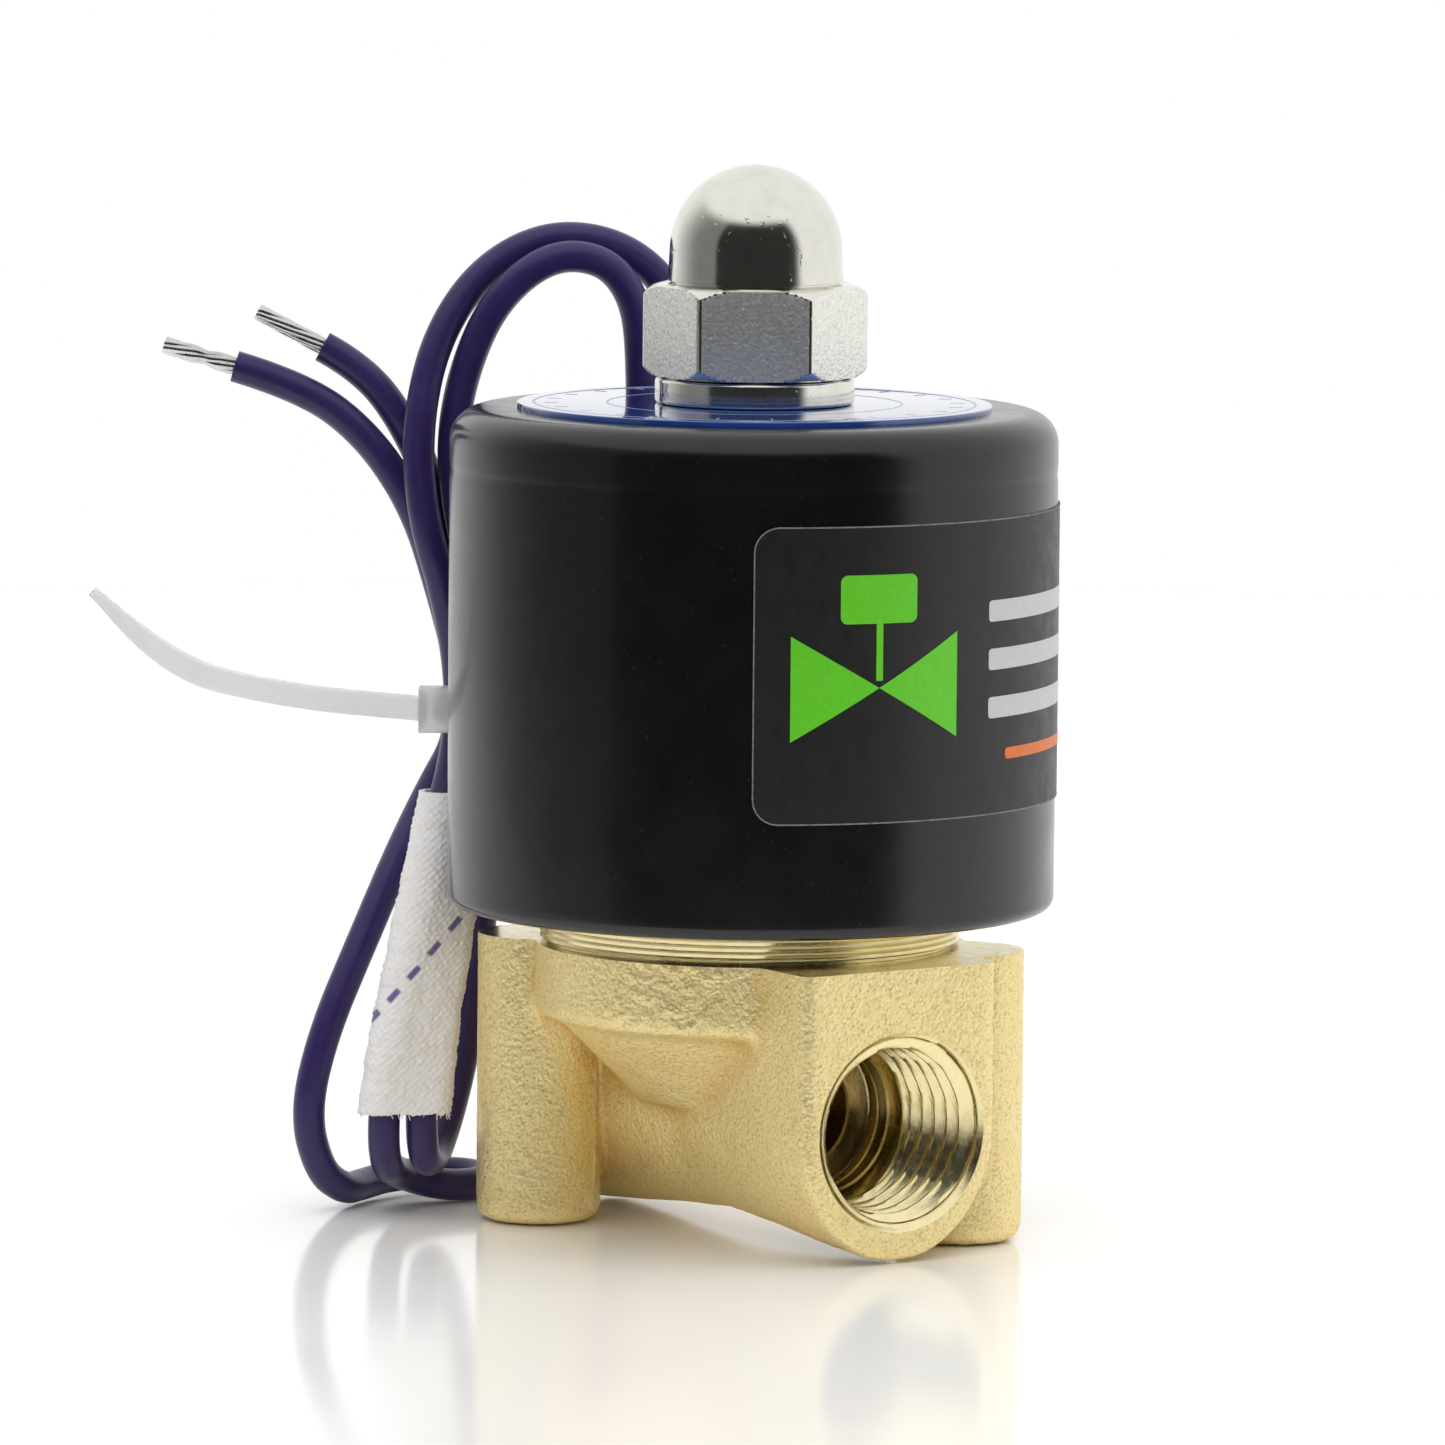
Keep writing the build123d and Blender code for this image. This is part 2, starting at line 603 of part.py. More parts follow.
with BuildPart() as insulating_sleeve:
    for margin, mode in ((0, Mode.ADD), (SLEEVE_WALL, Mode.SUBTRACT)):
        sections = []
        for z, x, y, turn in SLEEVE_SECTIONS:
            width_direction = (math.cos(math.radians(turn)), math.sin(math.radians(turn)), 0)
            plane = Plane(origin=(x, y, z), x_dir=width_direction, z_dir=(0, 0, 1))
            with BuildSketch(plane) as section:
                SlotOverall(SLEEVE_WIDTH - 2 * margin, SLEEVE_DEPTH - 2 * margin)
            sections.append(section.sketch)
        loft(sections, mode=mode)
write(insulating_sleeve.part, "insulating_sleeve")

# The tie's own frame: +X the way the tail leaves, +Y across the bundle, +Z up.
TIE_HEAD_AT = (2.9, 3.95)
TIE_TAIL = [              # centreline of the tail from the head, and its width there
    ((3.4, 3.95, 0.0), TIE_WIDTH),
    ((11.3, 3.0, 0.6), TIE_WIDTH),
    ((17.8, 2.0, 1.6), TIE_WIDTH),
    ((21.1, 1.5, 2.7), TIE_WIDTH),
    ((24.3, 1.2, 4.8), 1.5),
    ((27.9, 1.1, 8.1), 0.7),
]
tie_turn = math.radians(TIE_TURN)
bundle_plane = Plane(
    origin=(*BUNDLE_AT, TIE_Z),
    x_dir=(math.cos(tie_turn), math.sin(tie_turn), 0),
    z_dir=(0, 0, 1),
)
with BuildPart() as cable_tie:
    with BuildSketch(bundle_plane.offset(-TIE_WIDTH / 2)):
        RectangleRounded(TIE_INNER + 2 * TIE_THICKNESS, TIE_INNER + 2 * TIE_THICKNESS, 2.0)
        RectangleRounded(TIE_INNER, TIE_INNER, 1.2, mode=Mode.SUBTRACT)
    extrude(amount=TIE_WIDTH)
    with BuildSketch(bundle_plane.offset(-TIE_HEAD[2] / 2)):
        with Locations(TIE_HEAD_AT):
            RectangleRounded(TIE_HEAD[0], TIE_HEAD[1], 0.5)
    extrude(amount=TIE_HEAD[2])
    stations = [bundle_plane.from_local_coords(Vector(*point)) for point, _ in TIE_TAIL]
    tail_sections = []
    for index, (_, width) in enumerate(TIE_TAIL):
        before = stations[max(index - 1, 0)]
        after = stations[min(index + 1, len(stations) - 1)]
        along = (after - before).normalized()
        across = along.cross(Vector(0, 0, 1)).normalized()
        with BuildSketch(Plane(origin=stations[index], x_dir=across, z_dir=along)) as section:
            Rectangle(TIE_THICKNESS, width)
        tail_sections.append(section.sketch)
    loft(tail_sections)
write(cable_tie.part, "cable_tie")
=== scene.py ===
import math
import random

import bmesh
import bpy
import numpy as np
from mathutils import Matrix, Vector, noise

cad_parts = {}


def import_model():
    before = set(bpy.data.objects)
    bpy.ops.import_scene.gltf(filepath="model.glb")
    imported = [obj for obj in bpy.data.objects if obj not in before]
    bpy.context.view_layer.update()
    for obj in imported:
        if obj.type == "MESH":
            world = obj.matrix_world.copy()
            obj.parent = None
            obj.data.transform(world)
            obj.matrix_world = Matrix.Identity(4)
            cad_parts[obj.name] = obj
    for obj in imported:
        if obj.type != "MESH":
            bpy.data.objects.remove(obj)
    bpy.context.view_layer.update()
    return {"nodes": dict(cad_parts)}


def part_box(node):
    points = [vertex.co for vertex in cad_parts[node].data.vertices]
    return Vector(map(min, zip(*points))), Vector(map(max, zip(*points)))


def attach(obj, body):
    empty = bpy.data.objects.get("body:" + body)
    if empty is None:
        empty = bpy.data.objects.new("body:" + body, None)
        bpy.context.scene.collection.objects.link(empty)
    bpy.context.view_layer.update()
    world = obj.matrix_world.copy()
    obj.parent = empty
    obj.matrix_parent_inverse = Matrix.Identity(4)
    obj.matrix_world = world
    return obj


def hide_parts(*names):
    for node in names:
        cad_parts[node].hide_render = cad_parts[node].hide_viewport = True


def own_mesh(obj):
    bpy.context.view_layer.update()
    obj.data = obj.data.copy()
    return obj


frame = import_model()

MM = 0.001                # scene.py works in millimetres and scales each mesh to metres
TAU = 2 * math.pi
random.seed(7)

# ---- the places that the frame gives, in millimetres ----


def span(node):
    """Lowest and highest corner of a CAD node, in millimetres."""
    low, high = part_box(node)
    return low / MM, high / MM


BODY_LOW, BODY_HIGH = span("valve_body")
FLANGE_LOW, FLANGE_HIGH = span("bonnet_flange")
CAN_LOW, CAN_HIGH = span("coil_can")
DISC_LOW, DISC_HIGH = span("name_disc")
LABEL_LOW, LABEL_HIGH = span("side_label")
WASHER_LOW, WASHER_HIGH = span("spring_washer")
NUT_LOW, NUT_HIGH = span("cap_nut")
CAN_R = CAN_HIGH.x
PORT_X = BODY_HIGH.x
BODY_TOP = BODY_HIGH.z
TO_VIEWER = math.radians(-34.5)   # direction of the viewer, round from +X

# ---- sizes that the CAD source also uses ----
PORT_Z = 9.25
THREAD_R = 6.8
THREAD_DEPTH = 9.0
DRUM_R = 15.3
DRUM_LOW = 15.6
PILLAR_R = 4.5
PILLARS = ((-11.7, -10.2), (11.7, 10.2))
STUD_R = 4.0
WIRE_R = 1.15
TIP_R = 0.7
TIP_LENGTH = 5.4


# ---------------------------------------------------------------- mesh helpers
def finished(name, vertices, faces, sharp=30.0):
    """A smooth-shaded mesh object from millimetre vertices, with its steep edges kept sharp."""
    mesh = bpy.data.meshes.new(name)
    mesh.from_pydata([tuple(np.asarray(v) * MM) for v in vertices], [], faces)
    mesh.validate()
    mesh.shade_smooth()
    mesh.set_sharp_from_angle(angle=math.radians(sharp))
    piece = bpy.data.objects.new(name, mesh)
    bpy.context.scene.collection.objects.link(piece)
    return piece


def tidy_normals(piece):
    """Turns every face outwards."""
    work = bmesh.new()
    work.from_mesh(piece.data)
    bmesh.ops.remove_doubles(work, verts=work.verts, dist=1e-7)
    bmesh.ops.recalc_face_normals(work, faces=work.faces)
    work.to_mesh(piece.data)
    work.free()
    return piece


def soften(outline, steps=6):
    """Rounds an outline: each corner is (r, z) or (r, z, radius)."""
    points = []
    count = len(outline)
    for index, corner in enumerate(outline):
        here = np.array(corner[:2], float)
        radius = corner[2] if len(corner) > 2 else 0.0
        if radius == 0.0:
            points.append(here)
            continue
        before = np.array(outline[index - 1][:2], float) - here
        after = np.array(outline[(index + 1) % count][:2], float) - here
        before /= np.linalg.norm(before)
        after /= np.linalg.norm(after)
        half = math.acos(float(np.clip(before @ after, -1, 1))) / 2
        reach = radius / math.tan(half)
        middle = here + (before + after) / np.linalg.norm(before + after) * radius / math.sin(half)
        start = here + before * reach - middle
        end = here + after * reach - middle
        for step in range(steps + 1):
            mix = step / steps
            spoke = start * (1 - mix) + end * mix
            points.append(middle + spoke / np.linalg.norm(spoke) * radius)
    return points


def lathe(name, outline, segments=192, sharp=30.0, swell=None, along_x=None):
    """Turns a closed outline about Z, or about the port axis when along_x is 1 or -1.

    swell(angle, r, z) may add to the radius, as a thread does."""
    vertices, faces = [], []
    rows = len(outline)
    for segment in range(segments):
        angle = TAU * segment / segments
        for radius, height in outline:
            grown = radius + (swell(angle, radius, height) if swell else 0.0)
            if along_x is None:
                vertices.append((grown * math.cos(angle), grown * math.sin(angle), height))
            else:
                vertices.append((along_x * height, grown * math.cos(angle), PORT_Z + grown * math.sin(angle)))
    for segment in range(segments):
        ahead = (segment + 1) % segments
        for row in range(rows):
            below = (row + 1) % rows
            faces.append((segment * rows + row, ahead * rows + row, ahead * rows + below, segment * rows + below))
    return tidy_normals(finished(name, vertices, faces, sharp))


def tube(name, centres, frames, section, cap=True, sharp=40.0):
    """Sweeps a closed section along centres. frames gives two axes for each centre and
    section(step, turn) gives the section's two coordinates."""
    turns = section(0, None)
    vertices, faces = [], []
    for step, (centre, (axis_a, axis_b)) in enumerate(zip(centres, frames)):
        for turn in range(turns):
            a, b = section(step, turn)
            vertices.append(tuple(centre + axis_a * a + axis_b * b))
    for step in range(len(centres) - 1):
        for turn in range(turns):
            ahead = (turn + 1) % turns
            low, high = step * turns, (step + 1) * turns
            faces.append((low + turn, low + ahead, high + ahead, high + turn))
    if cap:
        faces.append(tuple(range(turns - 1, -1, -1)))
        top = (len(centres) - 1) * turns
        faces.append(tuple(range(top, top + turns)))
    return tidy_normals(finished(name, vertices, faces, sharp))


def modified(piece, kind, **settings):
    """Applies one modifier to a piece."""
    modifier = piece.modifiers.new(kind.lower(), kind)
    for key, value in settings.items():
        setattr(modifier, key, value)
    view = bpy.context.evaluated_depsgraph_get()
    mesh = bpy.data.meshes.new_from_object(piece.evaluated_get(view))
    piece.modifiers.clear()
    old = piece.data
    piece.data = mesh
    bpy.data.meshes.remove(old)
    return piece


# ---------------------------------------------------------------- camera, floor and light
def camera():
    """The photograph's viewpoint: a long lens, a little above the can, towards the right-hand port."""
    data = bpy.data.cameras.new("camera")
    data.lens = 277.6
    data.sensor_width = 36.0
    data.clip_start, data.clip_end = 0.05, 20
    eye = bpy.data.objects.new("camera", data)
    eye.location = Vector((649.8, -448.8, 122.5)) * MM
    aim = Vector((-1.2, -1.7, 36.42)) * MM
    turn = (aim - eye.location).to_track_quat("-Z", "Y").to_matrix().to_4x4()
    roll = Matrix.Rotation(math.radians(0.5), 4, "Z")
    eye.matrix_world = Matrix.Translation(eye.location) @ turn @ roll
    bpy.context.scene.collection.objects.link(eye)
    bpy.context.scene.camera = eye


# ---------------------------------------------------------------- leads, as routed in the CAD source
LEAD_A = [
    (-18.9, 3.1, 55),
    (-18.9, 3.1, 61),
    (-18.7, 2.3, 65.6),
    (-19.3, 0, 68.4),
    (-21, -3.6, 68.7),
    (-22.9, -7, 65.5),
    (-24.4, -8.7, 60.5),
    (-25.1, -9.4, 55),
    (-24.3, -9.2, 49.7),
    (-23.3, -8, 44.1),
    (-22.8, -7.1, 38.5),
    (-22.8, -7.1, 33.3),
    (-20.8, -10.4, 26.5),
    (-19.4, -13.4, 19.9),
    (-17.6, -15.8, 13.4),
    (-16.3, -17.3, 8.6),
    (-16.4, -17.2, 5.7),
    (-17.8, -15.9, 3.7),
    (-19.9, -13.8, 3.7),
    (-21.4, -11.9, 5.6),
    (-22.1, -10.4, 8.8),
    (-22.4, -9.3, 12.6),
    (-23, -8.1, 18.4),
    (-23.8, -6.9, 24.4),
    (-24.6, -6, 29.4),
    (-24.8, -5.8, 33.3),
    (-24.8, -5.8, 38.5),
    (-25.6, -6.6, 44),
    (-27, -8.9, 50),
    (-27.6, -11.6, 56.1),
    (-29.6, -14, 60.2),
    (-31.3, -16.5, 61.8),
]
LEAD_B = [
    (-18, 6.1, 55),
    (-18, 6.1, 61.2),
    (-18.6, 5.5, 66.2),
    (-20.8, 2.3, 69.4),
    (-23.4, -2.3, 70),
    (-25.3, -6.9, 67.3),
    (-25.4, -10.7, 62.3),
    (-24.7, -12.6, 56),
    (-23.9, -12.6, 49.9),
    (-23.4, -10.9, 44.3),
    (-24.2, -9.1, 38.5),
    (-24.2, -9.1, 33.3),
    (-20.6, -13.5, 27),
    (-19, -16, 20.1),
    (-17.9, -18.3, 13.6),
    (-17.3, -19.8, 8.4),
    (-17.6, -19.7, 5.5),
    (-19.2, -18.4, 3.6),
    (-21.5, -16.5, 2.8),
    (-22.6, -14, 1.8),
    (-21.6, -11.6, 1.2),
    (-21.3, -9.1, 1.2),
    (-23, -7.1, 1.2),
    (-25.8, -7.5, 1.3),
    (-27.3, -10.1, 1.3),
    (-26.9, -13.5, 1.3),
    (-25.2, -16.7, 1.2),
    (-23.3, -19.4, 1.3),
    (-22.4, -22.1, 3),
    (-22, -23.6, 7.4),
    (-21.7, -22.2, 13.2),
    (-22.4, -18.5, 19.5),
    (-23.9, -14.4, 25.4),
    (-25.7, -10.5, 29.8),
    (-26.2, -7.7, 33.3),
    (-26.2, -7.7, 38.5),
    (-26, -9.5, 44),
    (-26.2, -11.7, 50.3),
    (-28.3, -14.5, 55.5),
    (-31.1, -18.1, 58.9),
    (-34, -22.3, 60.4),
]
SLEEVE_SECTIONS = (           # z, x, y and the turn of the flat, in degrees
    (7.7, -17.04, -18.27, 69.4),
    (13.5, -17.82, -16.95, 83.9),
    (20, -19.2, -14.66, 97.1),
    (26, -20.73, -12.23, 98),
    (30, -22.2, -10.1, 90),
)


# ---------------------------------------------------------------- materials
class Finish:
    """A procedural material whose textures are measured in millimetres on the piece itself."""

    def __init__(self, name, colour, rough, metal=0.0, **sockets):
        self.material = bpy.data.materials.new(name)
        self.material.use_nodes = True
        self.tree = self.material.node_tree
        self.shader = self.tree.nodes["Principled BSDF"]
        self.colour = (*colour, 1.0)
        self.shader.inputs["Base Color"].default_value = self.colour
        self.shader.inputs["Roughness"].default_value = rough
        self.shader.inputs["Metallic"].default_value = metal
        for socket, value in sockets.items():
            self.shader.inputs[socket.replace("_", " ")].default_value = value
        self.place = self.node("ShaderNodeVectorMath", operation="SCALE")
        self.place.inputs["Scale"].default_value = 1 / MM
        self.link(self.node("ShaderNodeTexCoord").outputs["Object"], self.place.inputs[0])
        self.place = self.place.outputs[0]
        self.normal = None

    def node(self, kind, **settings):
        made = self.tree.nodes.new(kind)
        for key, value in settings.items():
            setattr(made, key, value)
        return made

    def link(self, source, target):
        if hasattr(source, "is_output"):
            self.tree.links.new(source, target)
        else:
            target.default_value = source

    def stretched(self, along):
        """Texture places scaled by a factor on each axis."""
        scale = self.node("ShaderNodeVectorMath", operation="MULTIPLY")
        self.link(self.place, scale.inputs[0])
        scale.inputs[1].default_value = along
        return scale.outputs[0]

    def noise(self, size, detail=2.0, along=(1, 1, 1)):
        """Noise whose features are about size millimetres."""
        made = self.node("ShaderNodeTexNoise")
        self.link(self.stretched(along), made.inputs["Vector"])
        made.inputs["Scale"].default_value = 1 / size
        made.inputs["Detail"].default_value = detail
        return made.outputs["Fac"]

    def cells(self, size, feature="F1"):
        made = self.node("ShaderNodeTexVoronoi", feature=feature)
        self.link(self.place, made.inputs["Vector"])
        made.inputs["Scale"].default_value = 1 / size
        return made.outputs["Distance"]

    def bands(self, size, axis="Z", kind="BANDS"):
        """Fine parallel lines, or rings about an axis."""
        made = self.node("ShaderNodeTexWave", wave_type=kind)
        if kind == "BANDS":
            made.bands_direction = axis
        else:
            made.rings_direction = axis
        self.link(self.place, made.inputs["Vector"])
        made.inputs["Scale"].default_value = 0.314 / size
        made.inputs["Distortion"].default_value = 0.6
        made.inputs["Detail Scale"].default_value = 2.0
        return made.outputs["Fac"]

    def attribute(self, name):
        return self.node("ShaderNodeAttribute", attribute_name=name).outputs["Fac"]

    def level(self, value, low, high, to_low=0.0, to_high=1.0):
        """Stretches the part of a value between low and high to another range."""
        made = self.node("ShaderNodeMapRange")
        self.link(value, made.inputs["Value"])
        for socket, number in zip(("From Min", "From Max", "To Min", "To Max"), (low, high, to_low, to_high)):
            made.inputs[socket].default_value = number
        return made.outputs["Result"]

    def tint(self, amount, colour):
        """Moves the colour towards another one where amount is high."""
        made = self.node("ShaderNodeMix", data_type="RGBA")
        self.link(amount, made.inputs[0])
        self.link(self.colour, made.inputs[6])
        made.inputs[7].default_value = (*colour, 1.0)
        self.colour = made.outputs[2]
        self.link(self.colour, self.shader.inputs["Base Color"])
        return self

    def gloss(self, value, low, high):
        """Roughness that runs from low to high with the value."""
        self.link(self.level(value, 0.3, 0.7, low, high), self.shader.inputs["Roughness"])
        return self

    def bump(self, height, depth, strength=1.0):
        """Relief of the given depth in millimetres."""
        made = self.node("ShaderNodeBump")
        made.inputs["Strength"].default_value = strength
        made.inputs["Distance"].default_value = depth * MM
        self.link(height, made.inputs["Height"])
        if self.normal:
            self.link(self.normal, made.inputs["Normal"])
        self.normal = made.outputs["Normal"]
        self.link(self.normal, self.shader.inputs["Normal"])
        return self


def cast_brass():
    """Sandblasted casting: pale gold, browner in its pits, with painted shade browning and darkening its valleys."""
    made = Finish("cast_brass", (0.95, 0.79, 0.39), 0.46, 0.72)
    made.tint(made.level(made.noise(5.0), 0.4, 0.75, 0.0, 0.35), (0.90, 0.69, 0.28))
    # painted shade: the valley mask browns and darkens the casting's hollows
    made.tint(made.level(made.attribute("hollow_shade"), 0.03, 0.32, 0.0, 0.75), (0.70, 0.44, 0.13))
    made.tint(made.level(made.noise(0.22), 0.34, 0.48, 0.6, 0.0), (0.58, 0.44, 0.18))
    made.tint(made.level(made.noise(0.20, along=(1.3, 1, 1)), 0.55, 0.72, 0.0, 0.6), (1.0, 0.92, 0.58))
    made.gloss(made.noise(1.4), 0.40, 0.54)
    made.bump(made.noise(0.36, 2), 0.11, 0.9)
    made.bump(made.cells(0.27), 0.05, 0.6)
    return made.material


def turned_brass():
    """Bright machined brass with fine tool marks round each axis of turning."""
    made = Finish("turned_brass", (0.80, 0.69, 0.37), 0.2, 1.0)
    made.tint(made.level(made.noise(3.0), 0.45, 0.75, 0.0, 0.4), (0.68, 0.50, 0.20))
    made.gloss(made.noise(0.8), 0.16, 0.28)
    made.bump(made.noise(0.9, 3, (1, 1, 14)), 0.012, 0.7)
    return made.material


def thread_brass():
    """Cut thread and turned steps inside a port, with tool marks round the port's axis and painted shade that darkens
    it further in.
    """
    made = Finish("thread_brass", (0.92, 0.81, 0.46), 0.2, 1.0)
    # painted shade: darker past the relief groove and deeper down the bore
    made.tint(made.attribute("deep"), (0.26, 0.13, 0.025))
    made.gloss(made.noise(0.8), 0.15, 0.30)
    made.bump(made.noise(0.7, 3, (12, 1, 1)), 0.02, 0.7)
    return made.material


def machined(name, colour, rough, along, tint):
    """Bright machined or drawn metal with its marks in one direction."""
    made = Finish(name, colour, rough, 1.0)
    made.tint(made.level(made.noise(2.5), 0.4, 0.7, 0.0, 0.5), tint)
    made.gloss(made.noise(0.7, along=along), rough * 0.75, rough * 1.3)
    made.bump(made.noise(0.6, 3, along), 0.01, 0.6)
    return made.material


def nickel():
    """Bright nickel plate with a fine grain and a few pits."""
    made = Finish("nickel", (0.78, 0.77, 0.70), 0.13, 1.0)
    made.tint(made.level(made.noise(1.6), 0.4, 0.7, 0.0, 0.4), (0.64, 0.63, 0.57))
    made.gloss(made.noise(2.0), 0.10, 0.17)
    made.bump(made.level(made.noise(0.5, 1), 0.66, 0.74), 0.02, 0.5)
    return made.material


def grained_nickel():
    """Plated forging: the nut's flats keep the grain of the bar."""
    made = Finish("grained_nickel", (0.92, 0.91, 0.83), 0.26, 0.72)
    made.tint(made.level(made.noise(0.35), 0.55, 0.75, 0.0, 0.5), (0.82, 0.81, 0.75))
    made.gloss(made.noise(0.5), 0.20, 0.32)
    made.tint(made.level(made.noise(0.26, 2), 0.36, 0.50, 0.30, 0.0), (0.50, 0.49, 0.44))
    made.bump(made.noise(0.30, 3), 0.13, 0.9)
    return made.material


def can_paint():
    """Black stoved enamel: near black, a little green, with a soft orange peel."""
    made = Finish("can_paint", (0.0030, 0.0036, 0.0030), 0.24, 0.0, IOR=1.45, Coat_Weight=0.2, Coat_Roughness=0.06)
    made.tint(made.level(made.noise(9.0), 0.4, 0.7, 0.0, 0.6), (0.0065, 0.0075, 0.0065))
    made.tint(made.level(made.noise(0.22, 1), 0.72, 0.80, 0.0, 0.5), (0.05, 0.055, 0.05))
    made.gloss(made.noise(3.5), 0.21, 0.28)
    made.bump(made.noise(1.1, 2), 0.012, 0.5)
    made.bump(made.noise(0.25, 1), 0.003, 0.6)
    return made.material


def disc_film():
    """Glossy blue film, a little mottled by the printing."""
    made = Finish("disc_blue", (0.012, 0.055, 0.26), 0.09, 0.0, IOR=1.55, Coat_Weight=1.0, Coat_Roughness=0.04)
    made.tint(made.level(made.noise(2.2), 0.4, 0.7, 0.0, 0.5), (0.018, 0.085, 0.36))
    made.gloss(made.noise(1.0), 0.07, 0.14)
    made.bump(made.noise(2.5, 2), 0.008, 0.5)
    return made.material


def printed(name, colour, lighter, rough=0.42):
    """Satin ink or film with a fine dot of the printing in it."""
    made = Finish(name, colour, rough, 0.0, IOR=1.45)
    made.tint(made.level(made.noise(0.35, 1), 0.45, 0.7, 0.0, 0.5), lighter)
    made.gloss(made.noise(1.4), rough - 0.04, rough + 0.06)
    made.bump(made.noise(0.5, 2), 0.004, 0.5)
    return made.material


def lead_skin():
    """Silicone insulation: dark violet with a satin skin and faint dust."""
    made = Finish("lead_violet", (0.026, 0.014, 0.088), 0.36, 0.0, IOR=1.42, Sheen_Weight=0.05)
    made.tint(made.level(made.noise(4.0), 0.4, 0.7, 0.0, 0.6), (0.038, 0.024, 0.118))
    made.tint(made.level(made.noise(0.30, 2), 0.62, 0.80, 0.0, 0.3), (0.075, 0.055, 0.18))
    made.gloss(made.noise(1.2), 0.30, 0.42)
    made.bump(made.noise(0.6, 3), 0.01, 0.6)
    return made.material


def braid():
    """Off-white glass braid with a violet tracer thread, and painted shade in the dips between its threads."""
    made = Finish("glass_braid", (0.86, 0.84, 0.83), 0.75, 0.0, Sheen_Weight=0.3, Subsurface_Weight=0.15)
    made.shader.inputs["Subsurface Radius"].default_value = (0.0012, 0.001, 0.0008)
    made.tint(made.level(made.noise(0.8), 0.4, 0.7, 0.0, 0.5), (0.77, 0.755, 0.74))
    # painted shade: darker where the threads dip, low values of the weave mask
    made.tint(made.level(made.attribute("weave_shade"), 0.0, 0.45, 0.45, 0.0), (0.76, 0.74, 0.71))
    made.tint(made.attribute("tracer"), (0.15, 0.115, 0.29))
    made.gloss(made.noise(0.4), 0.66, 0.85)
    made.bump(made.noise(0.14, 2), 0.03, 0.6)
    return made.material


def nylon():
    """Natural nylon: milky and half translucent."""
    made = Finish("nylon", (0.96, 0.955, 0.965), 0.34, 0.0, IOR=1.53, Subsurface_Weight=0.7)
    made.shader.inputs["Subsurface Radius"].default_value = (0.003, 0.0028, 0.003)
    made.shader.inputs["Transmission Weight"].default_value = 0.5
    made.tint(made.level(made.noise(1.8), 0.4, 0.7, 0.0, 0.5), (0.90, 0.89, 0.92))
    made.gloss(made.noise(0.9), 0.28, 0.42)
    made.bump(made.noise(0.5, 2), 0.01, 0.5)
    return made.material


def moulded(name, colour, lighter, rough, grain=0.02):
    """Moulded plastic, rubber or resin with a slight flow pattern."""
    made = Finish(name, colour, rough)
    made.tint(made.level(made.noise(2.5), 0.4, 0.7, 0.0, 0.6), lighter)
    made.gloss(made.noise(0.9), rough * 0.85, rough * 1.15)
    made.bump(made.noise(0.4, 3), grain, 0.6)
    return made.material


def wound(name, colour, darker, pitch, metal, rough):
    """Turns of wire or tape laid side by side up the spool, with painted shade in the grooves between turns."""
    made = Finish(name, colour, rough, metal)
    # painted shade: darker in the grooves between turns, where the relief dips
    made.tint(made.level(made.bands(pitch), 0.0, 0.4, 0.7, 0.0), darker)
    made.gloss(made.noise(0.8), rough * 0.8, rough * 1.2)
    made.bump(made.bands(pitch), pitch * 0.3, 0.8)
    return made.material


def materials():
    """One finish for each slot of the record, and a few that only scene pieces use."""
    round_z = (1, 1, 12)
    return {
        "cast_brass": cast_brass(),
        "turned_brass": turned_brass(),
        "thread_brass": thread_brass(),
        "tube_steel": machined("tube_steel", (0.62, 0.61, 0.59), 0.22, round_z, (0.5, 0.49, 0.47)),
        "core_steel": machined("core_steel", (0.50, 0.50, 0.50), 0.28, round_z, (0.40, 0.40, 0.40)),
        "copper": machined("copper", (0.80, 0.40, 0.24), 0.25, round_z, (0.62, 0.27, 0.15)),
        "spring_steel": machined("spring_steel", (0.56, 0.56, 0.55), 0.24, (1, 1, 3), (0.42, 0.42, 0.42)),
        "zinc_plate": machined("zinc_plate", (0.66, 0.66, 0.64), 0.32, (4, 1, 1), (0.54, 0.55, 0.55)),
        "tinned_wire": machined("tinned_wire", (0.66, 0.66, 0.66), 0.26, (2, 2, 1), (0.42, 0.42, 0.43)),
        "nickel": nickel(),
        "grained_nickel": grained_nickel(),
        "can_paint": can_paint(),
        "disc_blue": disc_film(),
        "disc_ring": printed("disc_ring", (0.30, 0.38, 0.55), (0.38, 0.46, 0.62), 0.3),
        "label_film": printed("label_film", (0.0095, 0.0105, 0.0095), (0.014, 0.0155, 0.014), 0.42),
        # painted highlight: light grey for the sticker's cut edge
        "label_edge_highlight": printed("label_edge_highlight", (0.20, 0.20, 0.195), (0.05, 0.05, 0.05), 0.6),
        "ink_green": printed("ink_green", (0.115, 0.56, 0.018), (0.14, 0.62, 0.03)),
        "ink_grey": printed("ink_grey", (0.55, 0.56, 0.57), (0.62, 0.63, 0.64)),
        "ink_orange": printed("ink_orange", (0.72, 0.16, 0.03), (0.78, 0.22, 0.05)),
        "lead_violet": lead_skin(),
        "glass_braid": braid(),
        "nylon": nylon(),
        "seal_rubber": moulded("seal_rubber", (0.020, 0.020, 0.020), (0.032, 0.032, 0.032), 0.6),
        "grommet_rubber": moulded("grommet_rubber", (0.018, 0.018, 0.020), (0.03, 0.03, 0.032), 0.55),
        "bobbin_plastic": moulded("bobbin_plastic", (0.05, 0.05, 0.055), (0.07, 0.07, 0.075), 0.45),
        "resin": moulded("resin", (0.022, 0.020, 0.018), (0.035, 0.032, 0.028), 0.25),
        "winding_copper": wound("winding_copper", (0.72, 0.33, 0.16), (0.30, 0.10, 0.04), 0.25, 1.0, 0.3),
        "tape": wound("tape", (0.70, 0.60, 0.32), (0.45, 0.36, 0.16), 1.2, 0.0, 0.5),
    }


